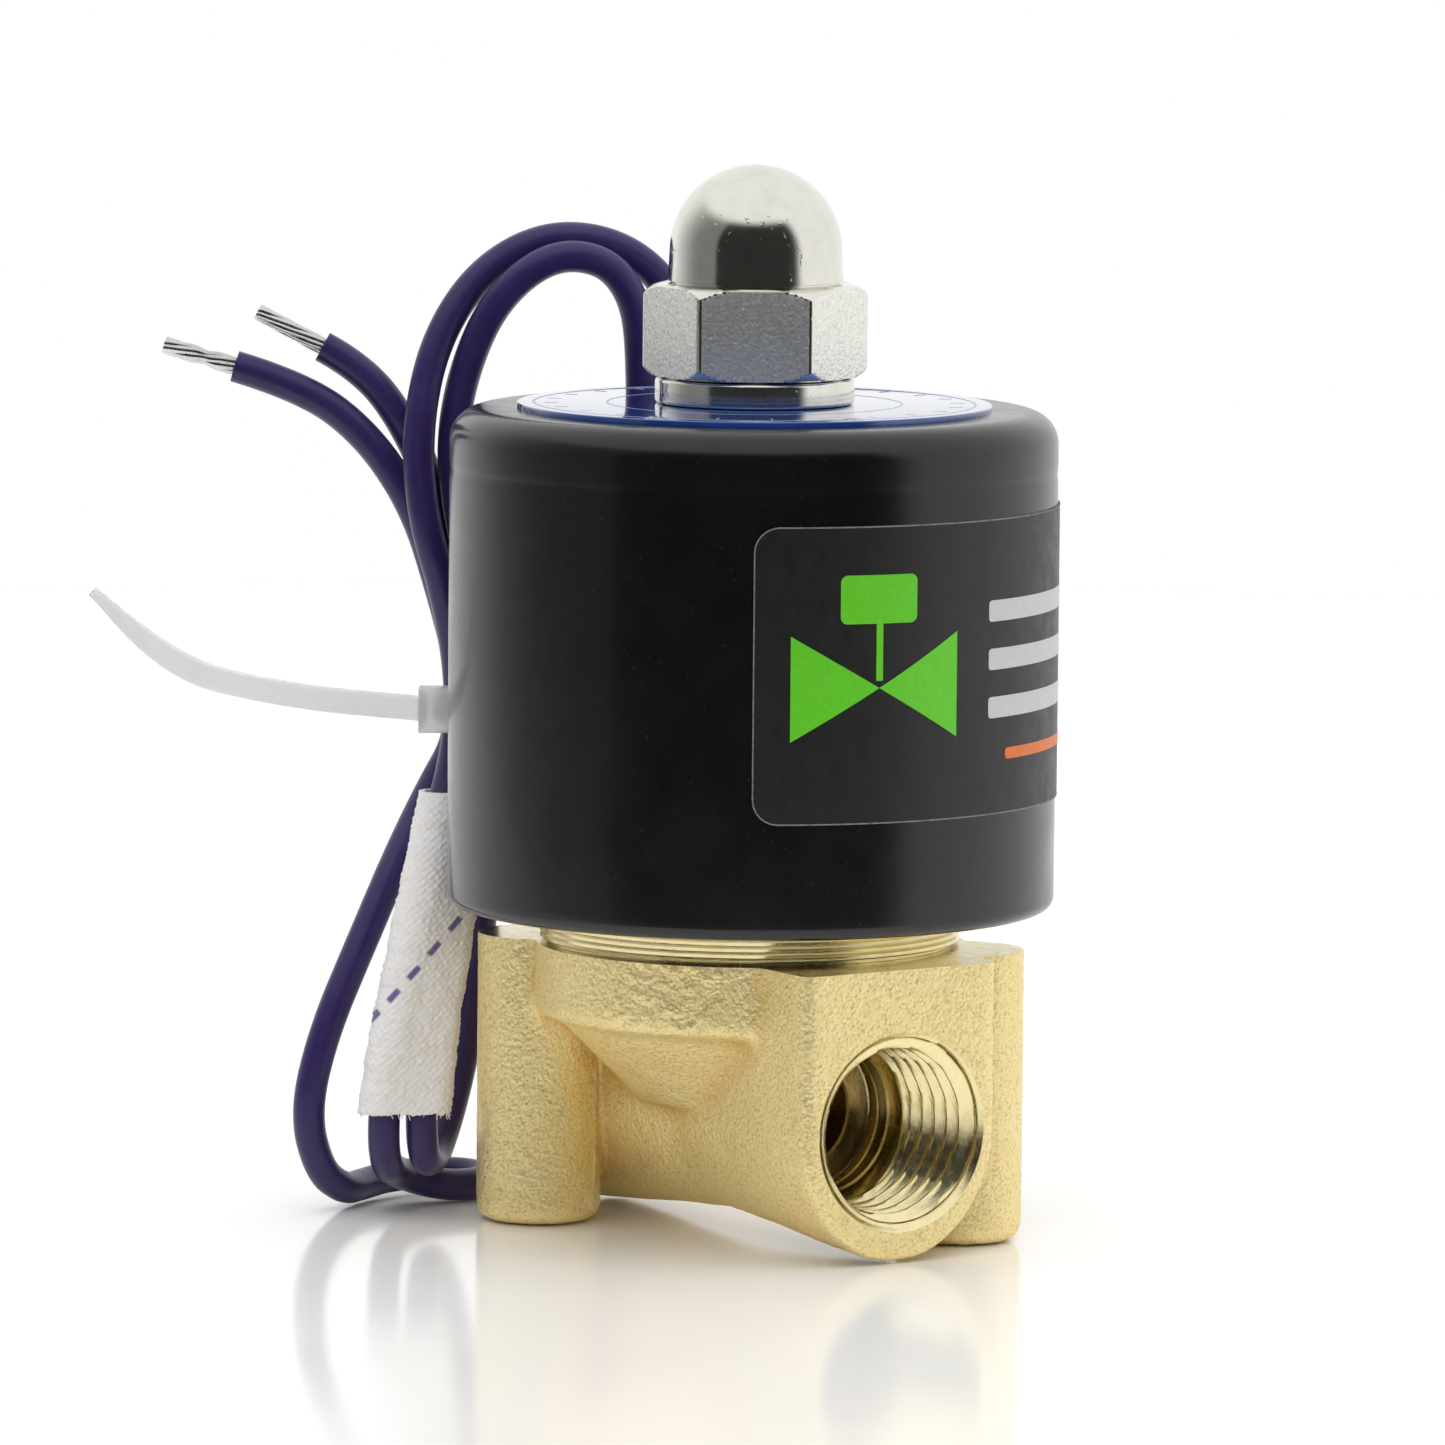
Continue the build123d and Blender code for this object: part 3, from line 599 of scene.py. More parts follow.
def coat(piece, *names):
    """Gives a new piece its finishes."""
    for name in names:
        piece.data.materials.append(FINISH[name])
    return piece


def mount(piece, body, slot, *nodes):
    """Rides on a body and stands for CAD nodes, whose parts it hides; slot is not used."""
    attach(piece, body)
    if nodes:
        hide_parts(*nodes)
    return piece


# ---------------------------------------------------------------- brass casting
ROUGH_TOP = 22.4              # the rough casting stands above the faced top
ARM_X = (0.0, 7.5, 13.5, 19.0)
ARM_HALF = (6.6, 7.4, 8.1, 8.3)
ARM_LOW = (1.5, 1.0, 0.4, 0.0)
VOXEL = 0.27
PARTING = (-7.76, -8.02)      # upright parting ridge on the near pillar's inner flank
BORE_R = THREAD_R + 0.25


def smooth_step(value, low, high):
    mix = np.clip((value - low) / (high - low), 0, 1)
    return mix * mix * (3 - 2 * mix)


def shell(name, rings):
    """Closed solid through rings that have the same number of points."""
    count = len(rings[0])
    vertices = [point for ring in rings for point in ring]
    faces = [tuple(range(count)), tuple(range(len(vertices) - 1, len(vertices) - count - 1, -1))]
    for row in range(len(rings) - 1):
        for turn in range(count):
            ahead = (turn + 1) % count
            low, high = row * count, (row + 1) * count
            faces.append((low + turn, high + turn, high + ahead, low + ahead))
    return tidy_normals(finished(name, vertices, faces))


def arm():
    """Both port arms: a rounded belly under upright sides, wider towards the ports."""
    rings = []
    for x in np.linspace(-PORT_X, PORT_X, 61):
        half = np.interp(abs(x), ARM_X, ARM_HALF)
        low = np.interp(abs(x), ARM_X, ARM_LOW)
        ring = [(x, half, ROUGH_TOP)]
        for angle in np.linspace(0, -math.pi, 61):
            ring.append((x, half * math.cos(angle), PORT_Z + (PORT_Z - low) * math.sin(angle)))
        ring.append((x, -half, ROUGH_TOP))
        rings.append(ring)
    return shell("arm", rings)


def joined(name, pieces):
    """Joins pieces into the first one and renames it."""
    work = bmesh.new()
    for piece in pieces:
        work.from_mesh(piece.data)
    work.to_mesh(pieces[0].data)
    work.free()
    for piece in pieces[1:]:
        bpy.data.objects.remove(piece)
    pieces[0].name = name
    return pieces[0]


def mesh_arrays(mesh):
    """Vertex places and normals in millimetres, and the edges."""
    places = np.empty(len(mesh.vertices) * 3)
    mesh.vertices.foreach_get("co", places)
    normals = np.empty(len(mesh.vertices) * 3)
    mesh.vertices.foreach_get("normal", normals)
    edges = np.empty(len(mesh.edges) * 2, dtype=np.int32)
    mesh.edges.foreach_get("vertices", edges)
    return places.reshape(-1, 3) / MM, normals.reshape(-1, 3), edges.reshape(-1, 2)


def eased(places, edges, rounds):
    """Places after rounds of averaging with their neighbours."""
    size = len(places)
    near = np.bincount(edges.ravel(), minlength=size)
    for _ in range(rounds):
        total = np.empty_like(places)
        for axis in range(3):
            total[:, axis] = np.bincount(edges[:, 0], places[edges[:, 1], axis], size)
            total[:, axis] += np.bincount(edges[:, 1], places[edges[:, 0], axis], size)
        places = (places + total / near[:, None]) / 2
    return places


def casting_grain(places, normals):
    """Relief of the sand mould, coarser and wrinkled on the drum's left wall, with a parting ridge."""
    grain = np.empty(len(places))
    turn = np.degrees(np.arctan2(places[:, 1], places[:, 0]))
    wall = smooth_step(np.hypot(places[:, 0], places[:, 1]), 14.4, 14.9) * smooth_step(places[:, 2], 15.4, 16.2)
    wrinkled = wall * smooth_step(turn, -80, -70) * (1 - smooth_step(turn, -44, -38))
    for index, place in enumerate(places):
        here = Vector(place)
        fine = noise.noise(here / 0.55) * 0.035 + noise.noise(here / 2.2) * 0.025
        rough = noise.noise(here / 0.62) * 0.10 + noise.noise(Vector((here.x, here.y, here.z * 1.4)) / 0.42) * 0.06
        grain[index] = fine + rough * wrinkled[index]
    aside = np.hypot(places[:, 0] - PARTING[0], places[:, 1] - PARTING[1])
    ridge = 0.15 * np.exp(-((aside / 0.20) ** 2)) * smooth_step(places[:, 2], 2.2, 3.2)
    return grain + ridge * (1 - smooth_step(places[:, 2], 11.0, 12.5))


def casting():
    """The valve body: rough casting, then its machined top, ports, bonnet bore and foot holes."""
    drum = lathe("drum", [(0, 9.6), (8.0, 9.6), (DRUM_R - 1.3, DRUM_LOW), (DRUM_R, DRUM_LOW),
                          (DRUM_R, ROUGH_TOP), (0, ROUGH_TOP)])
    parts = [arm(), drum]
    for x, y in PILLARS:
        pillar = lathe("pillar", soften([(0, 0), (PILLAR_R, 0, 0.9), (PILLAR_R, ROUGH_TOP), (0, ROUGH_TOP)]), 64)
        pillar.data.transform(Matrix.Translation(Vector((x, y, 0)) * MM))
        parts.append(pillar)
    body = joined("valve_casting", parts)
    modified(body, "REMESH", mode="VOXEL", voxel_size=VOXEL * MM)
    places, normals, edges = mesh_arrays(body.data)
    places = eased(places, edges, 26)
    body.data.vertices.foreach_set("co", (places * MM).ravel())
    body.data.update()
    places, normals, edges = mesh_arrays(body.data)
    # how far each point lies below its smoothed neighbours; the brass finish paints shade into these valleys
    valley = ((eased(places, edges, 90) - places) * normals).sum(axis=1)
    hollow_shade = body.data.attributes.new("hollow_shade", "FLOAT", "POINT")
    hollow_shade.data.foreach_set("value", np.clip(valley, -1, 1))
    places = places + normals * casting_grain(places, normals)[:, None]
    places[:, 2] = np.maximum(places[:, 2], 0.0)
    body.data.vertices.foreach_set("co", (places * MM).ravel())
    body.data.update()

    cutters = [lathe("cut_top", [(0, 15.6), (2.6, 15.6), (2.6, 14.2), (6.6, 14.2), (6.6, 16.6), (9.5, 16.6),
                                 (9.5, BODY_TOP), (40, BODY_TOP), (40, 26), (0, 26)], 128)]
    for side, reach in ((1, 19.2), (-1, 15.7)):
        depths = [(0, -3), (BORE_R, -3), (BORE_R, 9.3), (6.2, 9.3), (6.2, 12.1), (4.1, 12.1), (4.1, 15.7)]
        if reach > 15.7:
            depths += [(2.2, 15.7), (2.2, reach)]
        depths += [(0, reach)]
        outline = [(radius, PORT_X - depth) for radius, depth in depths]
        cutters.append(lathe("cut_port", outline, 96, along_x=side))
    for x, y in PILLARS:
        hole = lathe("cut_foot", [(0, -2), (1.65, -2), (1.65, 8), (0, 8.9)], 48)
        hole.data.transform(Matrix.Translation(Vector((x, y, 0)) * MM))
        cutters.append(hole)
    cutter = joined("cutter", cutters)
    modified(body, "BOOLEAN", operation="DIFFERENCE", solver="EXACT", object=cutter)
    bpy.data.objects.remove(cutter)
    body.data.materials.clear()
    coat(body, "cast_brass", "turned_brass")
    for face in body.data.polygons:
        middle = face.center / MM
        if abs(face.normal.z) > 0.999 and abs(middle.z - BODY_TOP) < 0.01:
            face.material_index = 1
    body.data.shade_smooth()
    body.data.set_sharp_from_angle(angle=math.radians(50))
    return mount(body, "valve", "cast_brass", "valve_body")


PITCH = 1.411                 # quarter-inch pipe thread, 18 turns to the inch
RIDGE = 0.85


def port_liner(name, side):
    """Machined inside of one port: chamfered mouth, tapering thread, relief groove and steps."""

    def thread(angle, radius, height):
        depth = PORT_X - height
        if radius > THREAD_R + 0.05 or radius < THREAD_R - 0.05 or depth < 0.2 or depth > 8.7:
            return 0.0
        phase = (depth / PITCH + side * angle / TAU) % 1.0
        crest = min(max((abs(2 * phase - 1) - 0.10) / 0.78, 0.0), 1.0)
        fade = smooth_step(depth, 0.15, 0.9) * (1 - smooth_step(depth, 8.2, 8.7))
        return -float(fade) * (crest * RIDGE + depth / 32)

    inner = [(BORE_R, -0.02), (THREAD_R, 0.2)]
    inner += [(THREAD_R, depth) for depth in np.arange(0.3, 8.75, PITCH / 12)]
    inner += [(THREAD_R, 8.8), (THREAD_R, 9.2), (5.5, 9.25), (5.35, 9.4), (5.35, 10.4), (5.25, 10.5), (5.6, 10.6),
              (5.6, 11.9), (5.45, 12.0), (3.9, 12.0), (3.75, 12.15), (3.75, 15.6)]
    if side == 1:
        inner += [(2.1, 15.6), (2.0, 15.75), (2.0, 19.0), (0, 19.0), (0, 19.15), (2.15, 19.15), (2.15, 15.65)]
    else:
        inner += [(0, 15.6), (0, 15.65)]
    outer = [(4.05, 15.65), (4.05, 12.05), (6.15, 12.05), (6.15, 9.3), (BORE_R - 0.01, 9.28)]
    outline = [(radius, PORT_X - depth) for radius, depth in inner + outer]
    liner = lathe(name, outline, 144, 40, thread, along_x=side)
    # mask of the painted shade inside the port, rising past the relief groove and deeper in
    deep = liner.data.attributes.new("deep", "FLOAT", "POINT")
    depth = PORT_X - np.array([abs(vertex.co.x) / MM for vertex in liner.data.vertices])
    deep.data.foreach_set("value", 0.30 * smooth_step(depth, 8.8, 9.3) + 0.68 * smooth_step(depth, 10.5, 14.5))
    coat(liner, "thread_brass")
    return mount(liner, "valve", "turned_brass")


# ---------------------------------------------------------------- bonnet, can, disc and label
def bonnet():
    """Turned bonnet ring: thin groove at its foot, fine tool lines round its rim, plain skirt below."""
    rim = [(14.5, 20.82), (14.5, 21.1), (14.95, 21.12)]
    for step, height in enumerate(np.arange(21.2, 23.2, 0.11)):
        rim.append((15.0 - (0.0, 0.035, 0.05, 0.02)[step % 4], height))
    rim += [(15.0, 23.25), (14.85, 23.4), (6.12, 23.4), (6.12, 18.3), (9.45, 18.3), (9.45, 20.82)]
    ring = lathe("bonnet_ring", rim, 256, 20)
    coat(ring, "turned_brass")
    return mount(ring, "valve", "turned_brass", "bonnet_flange")


def can():
    """Enamelled can: rolled foot, faint ridge under the shoulder, rounded top and slot for the leads."""
    skin = [(CAN_R - 1.2, 23.42), (CAN_R, 23.42, 0.9)]
    for height, radius in ((24.8, 0), (30, 0.01), (36, -0.01), (44, 0.01), (50, 0), (53.6, 0), (54.1, -0.02),
                           (54.45, -0.075), (54.8, -0.03), (55.3, 0)):
        skin.append((CAN_R + radius, height))
    skin += [(CAN_R, CAN_HIGH.z, 2.3), (STUD_R + 2.2, CAN_HIGH.z), (STUD_R + 2.2, CAN_HIGH.z - 2.0),
             (CAN_R - 1.2, CAN_HIGH.z - 2.0, 0.8)]
    body = lathe("can_shell", soften(skin, 10), 320, 40)
    slot_low, slot_high = span("lead_grommet")
    slot_x, slot_y = (slot_low.x + slot_high.x) / 2, (slot_low.y + slot_high.y) / 2
    ring = []
    heading = math.atan2(LEAD_B[0][1] - LEAD_A[0][1], LEAD_B[0][0] - LEAD_A[0][0])
    reach = math.dist(LEAD_A[0][:2], LEAD_B[0][:2]) / 2
    for turn in np.linspace(0, TAU, 64, endpoint=False):
        shift = reach if math.cos(turn - heading) > 0 else -reach
        ring.append((slot_x + 1.53 * math.cos(turn) + shift * math.cos(heading),
                     slot_y + 1.53 * math.sin(turn) + shift * math.sin(heading)))
    cutter = shell("cut_slot", [[(x, y, z) for x, y in ring] for z in (50, 64)])
    modified(body, "BOOLEAN", operation="DIFFERENCE", solver="EXACT", object=cutter)
    bpy.data.objects.remove(cutter)
    body.data.materials.clear()
    coat(body, "can_paint")
    body.data.shade_smooth()
    body.data.set_sharp_from_angle(angle=math.radians(40))
    return mount(body, "coil", "can_paint", "coil_can")


def disc():
    """Blue disc under the washer, with two thin printed rings and a ring of ticks."""
    top = DISC_HIGH.z
    outline = [(4.3, CAN_HIGH.z + 0.01), (16.9, CAN_HIGH.z + 0.01), (16.9, top, 0.12), (4.3, top)]
    plate = coat(lathe("disc_plate", soften(outline), 192, 40), "disc_blue")
    mount(plate, "coil", "disc_blue", "name_disc")
    vertices, faces = [], []
    marks = [(15.6, 15.8, angle, 1.0) for angle in range(0, 360, 1)]
    marks += [(14.0, 15.0, angle, 0.5) for angle in range(0, 360, 15)]
    marks += [(10.4, 10.55, angle, 1.0) for angle in range(0, 360, 1)]
    for inner, outer, start, sweep in marks:
        base = len(vertices)
        for height in (top - 0.02, top + 0.012):
            for radius, degree in ((inner, start), (outer, start), (outer, start + sweep), (inner, start + sweep)):
                angle = math.radians(degree)
                vertices.append((radius * math.cos(angle), radius * math.sin(angle), height))
        faces += [tuple(base + corner for corner in face) for face in (
            (3, 2, 1, 0), (4, 5, 6, 7), (0, 1, 5, 4), (1, 2, 6, 5), (2, 3, 7, 6), (3, 0, 4, 7))]
    rings = coat(finished("disc_marks", vertices, faces), "disc_ring")
    mount(rings, "coil", "disc_blue")


def wrapped(name, outlines, low, high, finishes, body="coil"):
    """Flat shapes, given as outlines of arc length and height, wrapped round the can."""
    work = bmesh.new()
    for outline in outlines:
        front = work.faces.new([work.verts.new((along, height, 0)) for along, height in outline])
        if front.normal.z < 0:
            front.normal_flip()
    for along in np.arange(-2, 80, 0.8):
        everything = work.verts[:] + work.edges[:] + work.faces[:]
        bmesh.ops.bisect_plane(work, geom=everything, dist=1e-5, plane_co=(along, 0, 0), plane_no=(1, 0, 0))
    work.normal_update()
    grown = bmesh.ops.extrude_face_region(work, geom=work.faces[:])
    for item in grown["geom"]:
        if isinstance(item, bmesh.types.BMVert):
            item.co.z = 1.0
    for vertex in work.verts:
        angle = TO_VIEWER + vertex.co.x / CAN_R
        radius = low + (high - low) * vertex.co.z
        vertex.co = Vector((radius * math.cos(angle), radius * math.sin(angle), vertex.co.y)) * MM
    bmesh.ops.recalc_face_normals(work, faces=work.faces)
    mesh = bpy.data.meshes.new(name)
    work.to_mesh(mesh)
    work.free()
    mesh.shade_smooth()
    mesh.set_sharp_from_angle(angle=math.radians(40))
    piece = bpy.data.objects.new(name, mesh)
    bpy.context.scene.collection.objects.link(piece)
    coat(piece, *finishes)
    return piece


def rounded_box(left, bottom, right, top, radius):
    """Outline of a rectangle with round corners."""
    outline = []
    corners = ((right - radius, bottom + radius, -90), (right - radius, top - radius, 0),
               (left + radius, top - radius, 90), (left + radius, bottom + radius, 180))
    for x, z, start in corners:
        for step in range(7):
            angle = math.radians(start + 15 * step)
            outline.append((x + radius * math.cos(angle), z + radius * math.sin(angle)))
    return outline


def label():
    """Charcoal sticker wrapped round the can, with plain generic marks and a painted highlight along its cut edge."""
    length = math.radians(172.5) * CAN_R
    low, high = LABEL_LOW.z, LABEL_HIGH.z
    film = wrapped("label_film", [rounded_box(0, low, length, high, 1.8)], CAN_R - 0.02, LABEL_HIGH.x - 0.06,
                   ("label_film", "label_edge_highlight"))
    # painted highlight: the sticker's side faces take the light grey edge finish
    for face in film.data.polygons:
        middle = face.center / MM
        outward = Vector((middle.x, middle.y, 0)).normalized()
        if abs(face.normal.dot(outward)) < 0.5:
            face.material_index = 1
    mount(film, "coil", "label_film", "side_label")
    # painted highlight: a thin light grey band just inside the sticker's outline
    outer, inner = rounded_box(0, low, length, high, 1.8), rounded_box(0.1, low + 0.1, length - 0.1, high - 0.1, 1.7)
    corners = list(zip(outer, outer[1:] + outer[:1], inner[1:] + inner[:1], inner))
    cut = wrapped("label_edge_highlight_band", corners, LABEL_HIGH.x - 0.08, LABEL_HIGH.x - 0.045, ["label_edge_highlight"])
    mount(cut, "coil", "label_film")
    skin = (LABEL_HIGH.x - 0.07, LABEL_HIGH.x - 0.03)
    middle = (low + high) / 2
    valve_sign = [
        [(2.6, middle - 4.6), (2.6, middle + 2.8), (9.0, middle - 0.9)],
        [(15.4, middle + 2.8), (15.4, middle - 4.6), (9.0, middle - 0.9)],
        [(8.75, middle - 0.4), (9.25, middle - 0.4), (9.25, middle + 3.6), (8.75, middle + 3.6)],
        rounded_box(6.1, middle + 3.6, 11.9, middle + 7.0, 0.5),
    ]
    mount(wrapped("label_green", valve_sign, *skin, ["ink_green"]), "coil", "label_film")
    bars = [rounded_box(start, low_z, end, low_z + tall, 0.3) for start, end, low_z, tall in (
        (18.6, 43.0, middle + 3.2, 1.5), (18.6, 36.0, middle - 0.2, 1.5), (18.6, 40.0, middle - 3.6, 1.5),
        (46.5, 61.5, middle + 4.4, 0.5), (46.5, 61.5, middle - 6.0, 0.5))]
    bars += [rounded_box(46.5 + 2.5 * step, middle - 5.0, 47.4 + 2.5 * step, middle + 3.9, 0.2) for step in range(7)]
    mount(wrapped("label_grey", bars, *skin, ["ink_grey"]), "coil", "label_film")
    orange = [rounded_box(20.6, middle - 6.6, 34.0, middle - 5.8, 0.3)]
    mount(wrapped("label_orange", orange, *skin, ["ink_orange"]), "coil", "label_film")


# ---------------------------------------------------------------- washer and cap nut
def washer():
    """Split lock washer with eased edges."""
    low, high = WASHER_LOW.z, WASHER_HIGH.z
    outline = soften([(4.15, low, 0.12), (7.1, low, 0.3), (7.1, high, 0.3), (4.15, high, 0.12)])
    centres, frames = [], []
    for angle in np.linspace(math.radians(208), math.radians(208 + 349), 150):
        centres.append(np.zeros(3))
        frames.append((np.array((math.cos(angle), math.sin(angle), 0)), np.array((0, 0, 1.0))))
    ring = tube("washer_ring", centres, frames, lambda step, turn: len(outline) if turn is None else outline[turn])
    coat(ring, "nickel")
    mount(ring, "valve", "spring_steel", "spring_washer")


def soft_least(a, b, blend):
    """The lesser of two numbers, blended where they meet."""
    mix = max(blend - abs(a - b), 0.0) / blend
    return min(a, b) - mix * mix * blend / 4


def nut():
    """Domed nut: chamfered hexagon with grained flats, seam groove and bright dome."""
    low, top = NUT_LOW.z, 67.8
    heights = [low + 0.02 * k for k in range(1)] + list(np.linspace(low, top, 48))
    outline = [(4.05, low)] + [(7.0, height) for height in heights[1:]] + [(4.05, top)]

    def hexagon(angle, radius, height):
        if radius < 7.0:
            return 0.0
        turn = (angle - TO_VIEWER + math.pi / 6) % (math.pi / 3) - math.pi / 6
        flat = 7.0 / math.cos(turn)
        rise = min(height - low, top - height)
        turned = 6.78 + 1.35 * math.sqrt(max(rise, 0.0) / 0.9)
        return soft_least(soft_least(flat, turned, 0.10), 7.98, 0.12) - 7.0

    hexed = coat(lathe("nut_hexagon", outline, 360, 28, hexagon), "grained_nickel", "nickel")
    for face in hexed.data.polygons:
        middle = face.center / MM
        angle = math.atan2(middle.y, middle.x)
        turn = (angle - TO_VIEWER + math.pi / 6) % (math.pi / 3) - math.pi / 6
        flat = Vector((math.cos(angle - turn), math.sin(angle - turn), 0))
        if face.normal.dot(flat) < 0.985:
            face.material_index = 1
    mount(hexed, "valve", "nickel", "cap_nut")
    centre = NUT_HIGH.z - 6.1
    dome = [(4.05, top - 0.3), (6.25, top - 0.3), (6.27, top + 0.02), (6.05, top + 0.08), (6.05, top + 0.18),
            (6.28, top + 0.25), (6.25, top + 0.6), (6.19, top + 1.2)]
    for angle in np.linspace(0, math.pi / 2, 40):
        dome.append((6.13 * math.cos(angle), centre + 6.1 * math.sin(angle)))
    dome += [(0, NUT_HIGH.z - 1.6), (4.05, NUT_HIGH.z - 4.5)]
    cap = coat(lathe("nut_dome", dome, 256, 40), "nickel")
    mount(cap, "valve", "nickel")


# ---------------------------------------------------------------- leads, tips, sleeve and tie
def lead(name, route):
    """One insulated lead: a NURBS curve on its route."""
    curve = bpy.data.curves.new(name, "CURVE")
    curve.dimensions = "3D"
    curve.resolution_u = 14
    curve.bevel_depth = WIRE_R * MM
    curve.bevel_resolution = 7
    curve.use_fill_caps = True
    spline = curve.splines.new("NURBS")
    spline.points.add(len(route) - 1)
    for point, place in zip(spline.points, route):
        point.co = (*(Vector(place) * MM), 1.0)
    spline.order_u = 3
    spline.use_endpoint_u = True
    wire = bpy.data.objects.new(name, curve)
    bpy.context.scene.collection.objects.link(wire)
    curve.materials.append(FINISH["lead_violet"])
    mount(wire, "coil", "lead_violet", name.replace("_skin", ""))
    return wire


def across(along):
    """Two unit axes square to a direction."""
    along = np.array(along, float)
    side = np.cross(along, (0, 0, 1))
    side /= np.linalg.norm(side)
    return side, np.cross(side, along)


def strands(name, route, pinch, node):
    """Seven twisted and tinned strands that stand out of the insulation."""
    end, before = np.array(route[-1], float), np.array(route[-2], float)
    along = (end - before) / np.linalg.norm(end - before)
    side, up = across(along)
    pieces = []
    for strand in range(7):
        centres = []
        for share in np.linspace(0, 1, 40):
            squeeze, flat = pinch(share)
            turn = TAU * strand / 6 + share * 2.6
            spread = 0.0 if strand == 6 else 0.33 * squeeze
            drop = side * math.cos(turn) * spread * flat + up * math.sin(turn) * spread / flat
            centres.append(end + along * (share * 5.35 - 0.3 * (share == 0)) + drop)
        radius = 0.34

        def section(step, turn, radius=radius):
            if turn is None:
                return 10
            angle = TAU * turn / 10
            taper = 0.8 if step in (0, 39) else 1.0
            return radius * taper * math.cos(angle), radius * taper * math.sin(angle)

        pieces.append(tube(f"strand_{strand}", centres, [(side, up)] * 40, section))
    tip = coat(joined(name, pieces), "tinned_wire")
    mount(tip, "coil", "tinned_wire", node)
    return tip


def straight_tip(share):
    return 1.0 - 0.15 * share, 1.0


def kinked_tip(share):
    """Pinched in the middle, fused and spread at the end."""
    waist = math.exp(-(((share - 0.42) / 0.10) ** 2))
    return 1.05 - 0.45 * waist, 1.0 + 0.12 * smooth_step(share, 0.5, 0.8)


SLEEVE_WIDTH = 6.7
SLEEVE_DEPTH = 3.5
SLEEVE_WALL = 0.35
WEAVE = 0.60                  # one thread of the braid


def stadium(share, width, depth):
    """Place and outward direction round a flattened tube."""
    half, radius = (width - depth) / 2, depth / 2
    run, arc = 2 * half, math.pi * radius
    along = share % 1.0 * (2 * run + 2 * arc)
    if along < arc:
        turn = -math.pi / 2 + along / radius
        return half + radius * math.cos(turn), radius * math.sin(turn), math.cos(turn), math.sin(turn)
    along -= arc
    if along < run:
        return half - along, radius, 0.0, 1.0
    along -= run
    if along < arc:
        turn = math.pi / 2 + along / radius
        return -half + radius * math.cos(turn), radius * math.sin(turn), math.cos(turn), math.sin(turn)
    return -half + along - arc, -radius, 0.0, -1.0


def sleeve():
    """Flattened woven sleeve with a frayed lower end and a dashed tracer thread."""
    stations = np.array(SLEEVE_SECTIONS, float)
    around, girth = 210, 2 * (SLEEVE_WIDTH - SLEEVE_DEPTH) + math.pi * SLEEVE_DEPTH
    rows = np.arange(stations[0, 0], stations[-1, 0], WEAVE / 6)
    vertices, faces, weave_shade, tracer = [], [], [], []
    cells_round = round(girth / WEAVE)
    for shell_side in (0, 1):
        for row, height in enumerate(rows):
            x, y, turn = (np.interp(height, stations[:, 0], stations[:, k]) for k in (1, 2, 3))
            turn = math.radians(turn)
            wide = np.array((math.cos(turn), math.sin(turn), 0))
            deep = np.array((-math.sin(turn), math.cos(turn), 0))
            for step in range(around):
                share = step / around
                a, b, out_a, out_b = stadium(share, SLEEVE_WIDTH - 2 * SLEEVE_WALL * shell_side,
                                             SLEEVE_DEPTH - 2 * SLEEVE_WALL * shell_side)
                cell_u, cell_v = share * cells_round, height / WEAVE
                over = math.sin(math.pi * (cell_u + cell_v)) * math.sin(math.pi * (cell_u - cell_v))
                place = Vector((x + a * wide[0], y + a * wide[1], height))
                fuzz = noise.noise(place / 0.35) * 0.09 + noise.noise(place / 1.6) * 0.12
                relief = (0.09 * abs(over) + fuzz) if shell_side == 0 else 0.0
                fray = 0.0
                if row < 5:
                    fray = noise.noise(Vector((share * 34, 3.1, 0))) * 0.42 * (1 - row / 5)
                centre = np.array((x, y, height + fray))
                point = centre + wide * (a + out_a * relief) + deep * (b + out_b * relief)
                vertices.append(tuple(point))
                # height of the threads, which the braid finish darkens as painted shade where low
                weave_shade.append(abs(over))
                tracer.append(tracer_at(point) if shell_side == 0 else 0.0)
    size = len(rows) * around
    for row in range(len(rows) - 1):
        for step in range(around):
            ahead = (step + 1) % around
            low, high = row * around, (row + 1) * around
            faces.append((low + step, low + ahead, high + ahead, high + step))
            faces.append((size + low + ahead, size + low + step, size + high + step, size + high + ahead))
    for row, flip in ((0, True), (len(rows) - 1, False)):
        for step in range(around):
            ahead = (step + 1) % around
            rim = (row * around + step, row * around + ahead, size + row * around + ahead, size + row * around + step)
            faces.append(rim[::-1] if flip else rim)
    piece = finished("woven_sleeve", vertices, faces, 60)
    for name, values in (("weave_shade", weave_shade), ("tracer", tracer)):
        layer = piece.data.attributes.new(name, "FLOAT", "POINT")
        layer.data.foreach_set("value", values)
    coat(piece, "glass_braid")
    mount(piece, "coil", "glass_braid", "insulating_sleeve")
    return piece


def tracer_at(point):
    """1 on the dashes of the tracer, which climbs across the side that faces outwards."""
    across_view = 0.566 * point[0] + 0.824 * point[1]
    toward = 0.824 * point[0] - 0.566 * point[1]
    along = np.array((6.0, 6.7)) / math.hypot(6.0, 6.7)
    offset = np.array((across_view + 26.95, point[2] - 14.5))
    reach = float(offset @ along)
    aside = float(abs(offset[0] * along[1] - offset[1] * along[0]))
    centre_toward = -7.6
    if toward < centre_toward - 0.5 or not -1.5 < reach < 11.0:
        return 0.0
    dash = abs((reach / 2.15) % 1.0 - 0.5)
    return float((1 - smooth_step(aside, 0.14, 0.30)) * smooth_step(dash, 0.20, 0.27))


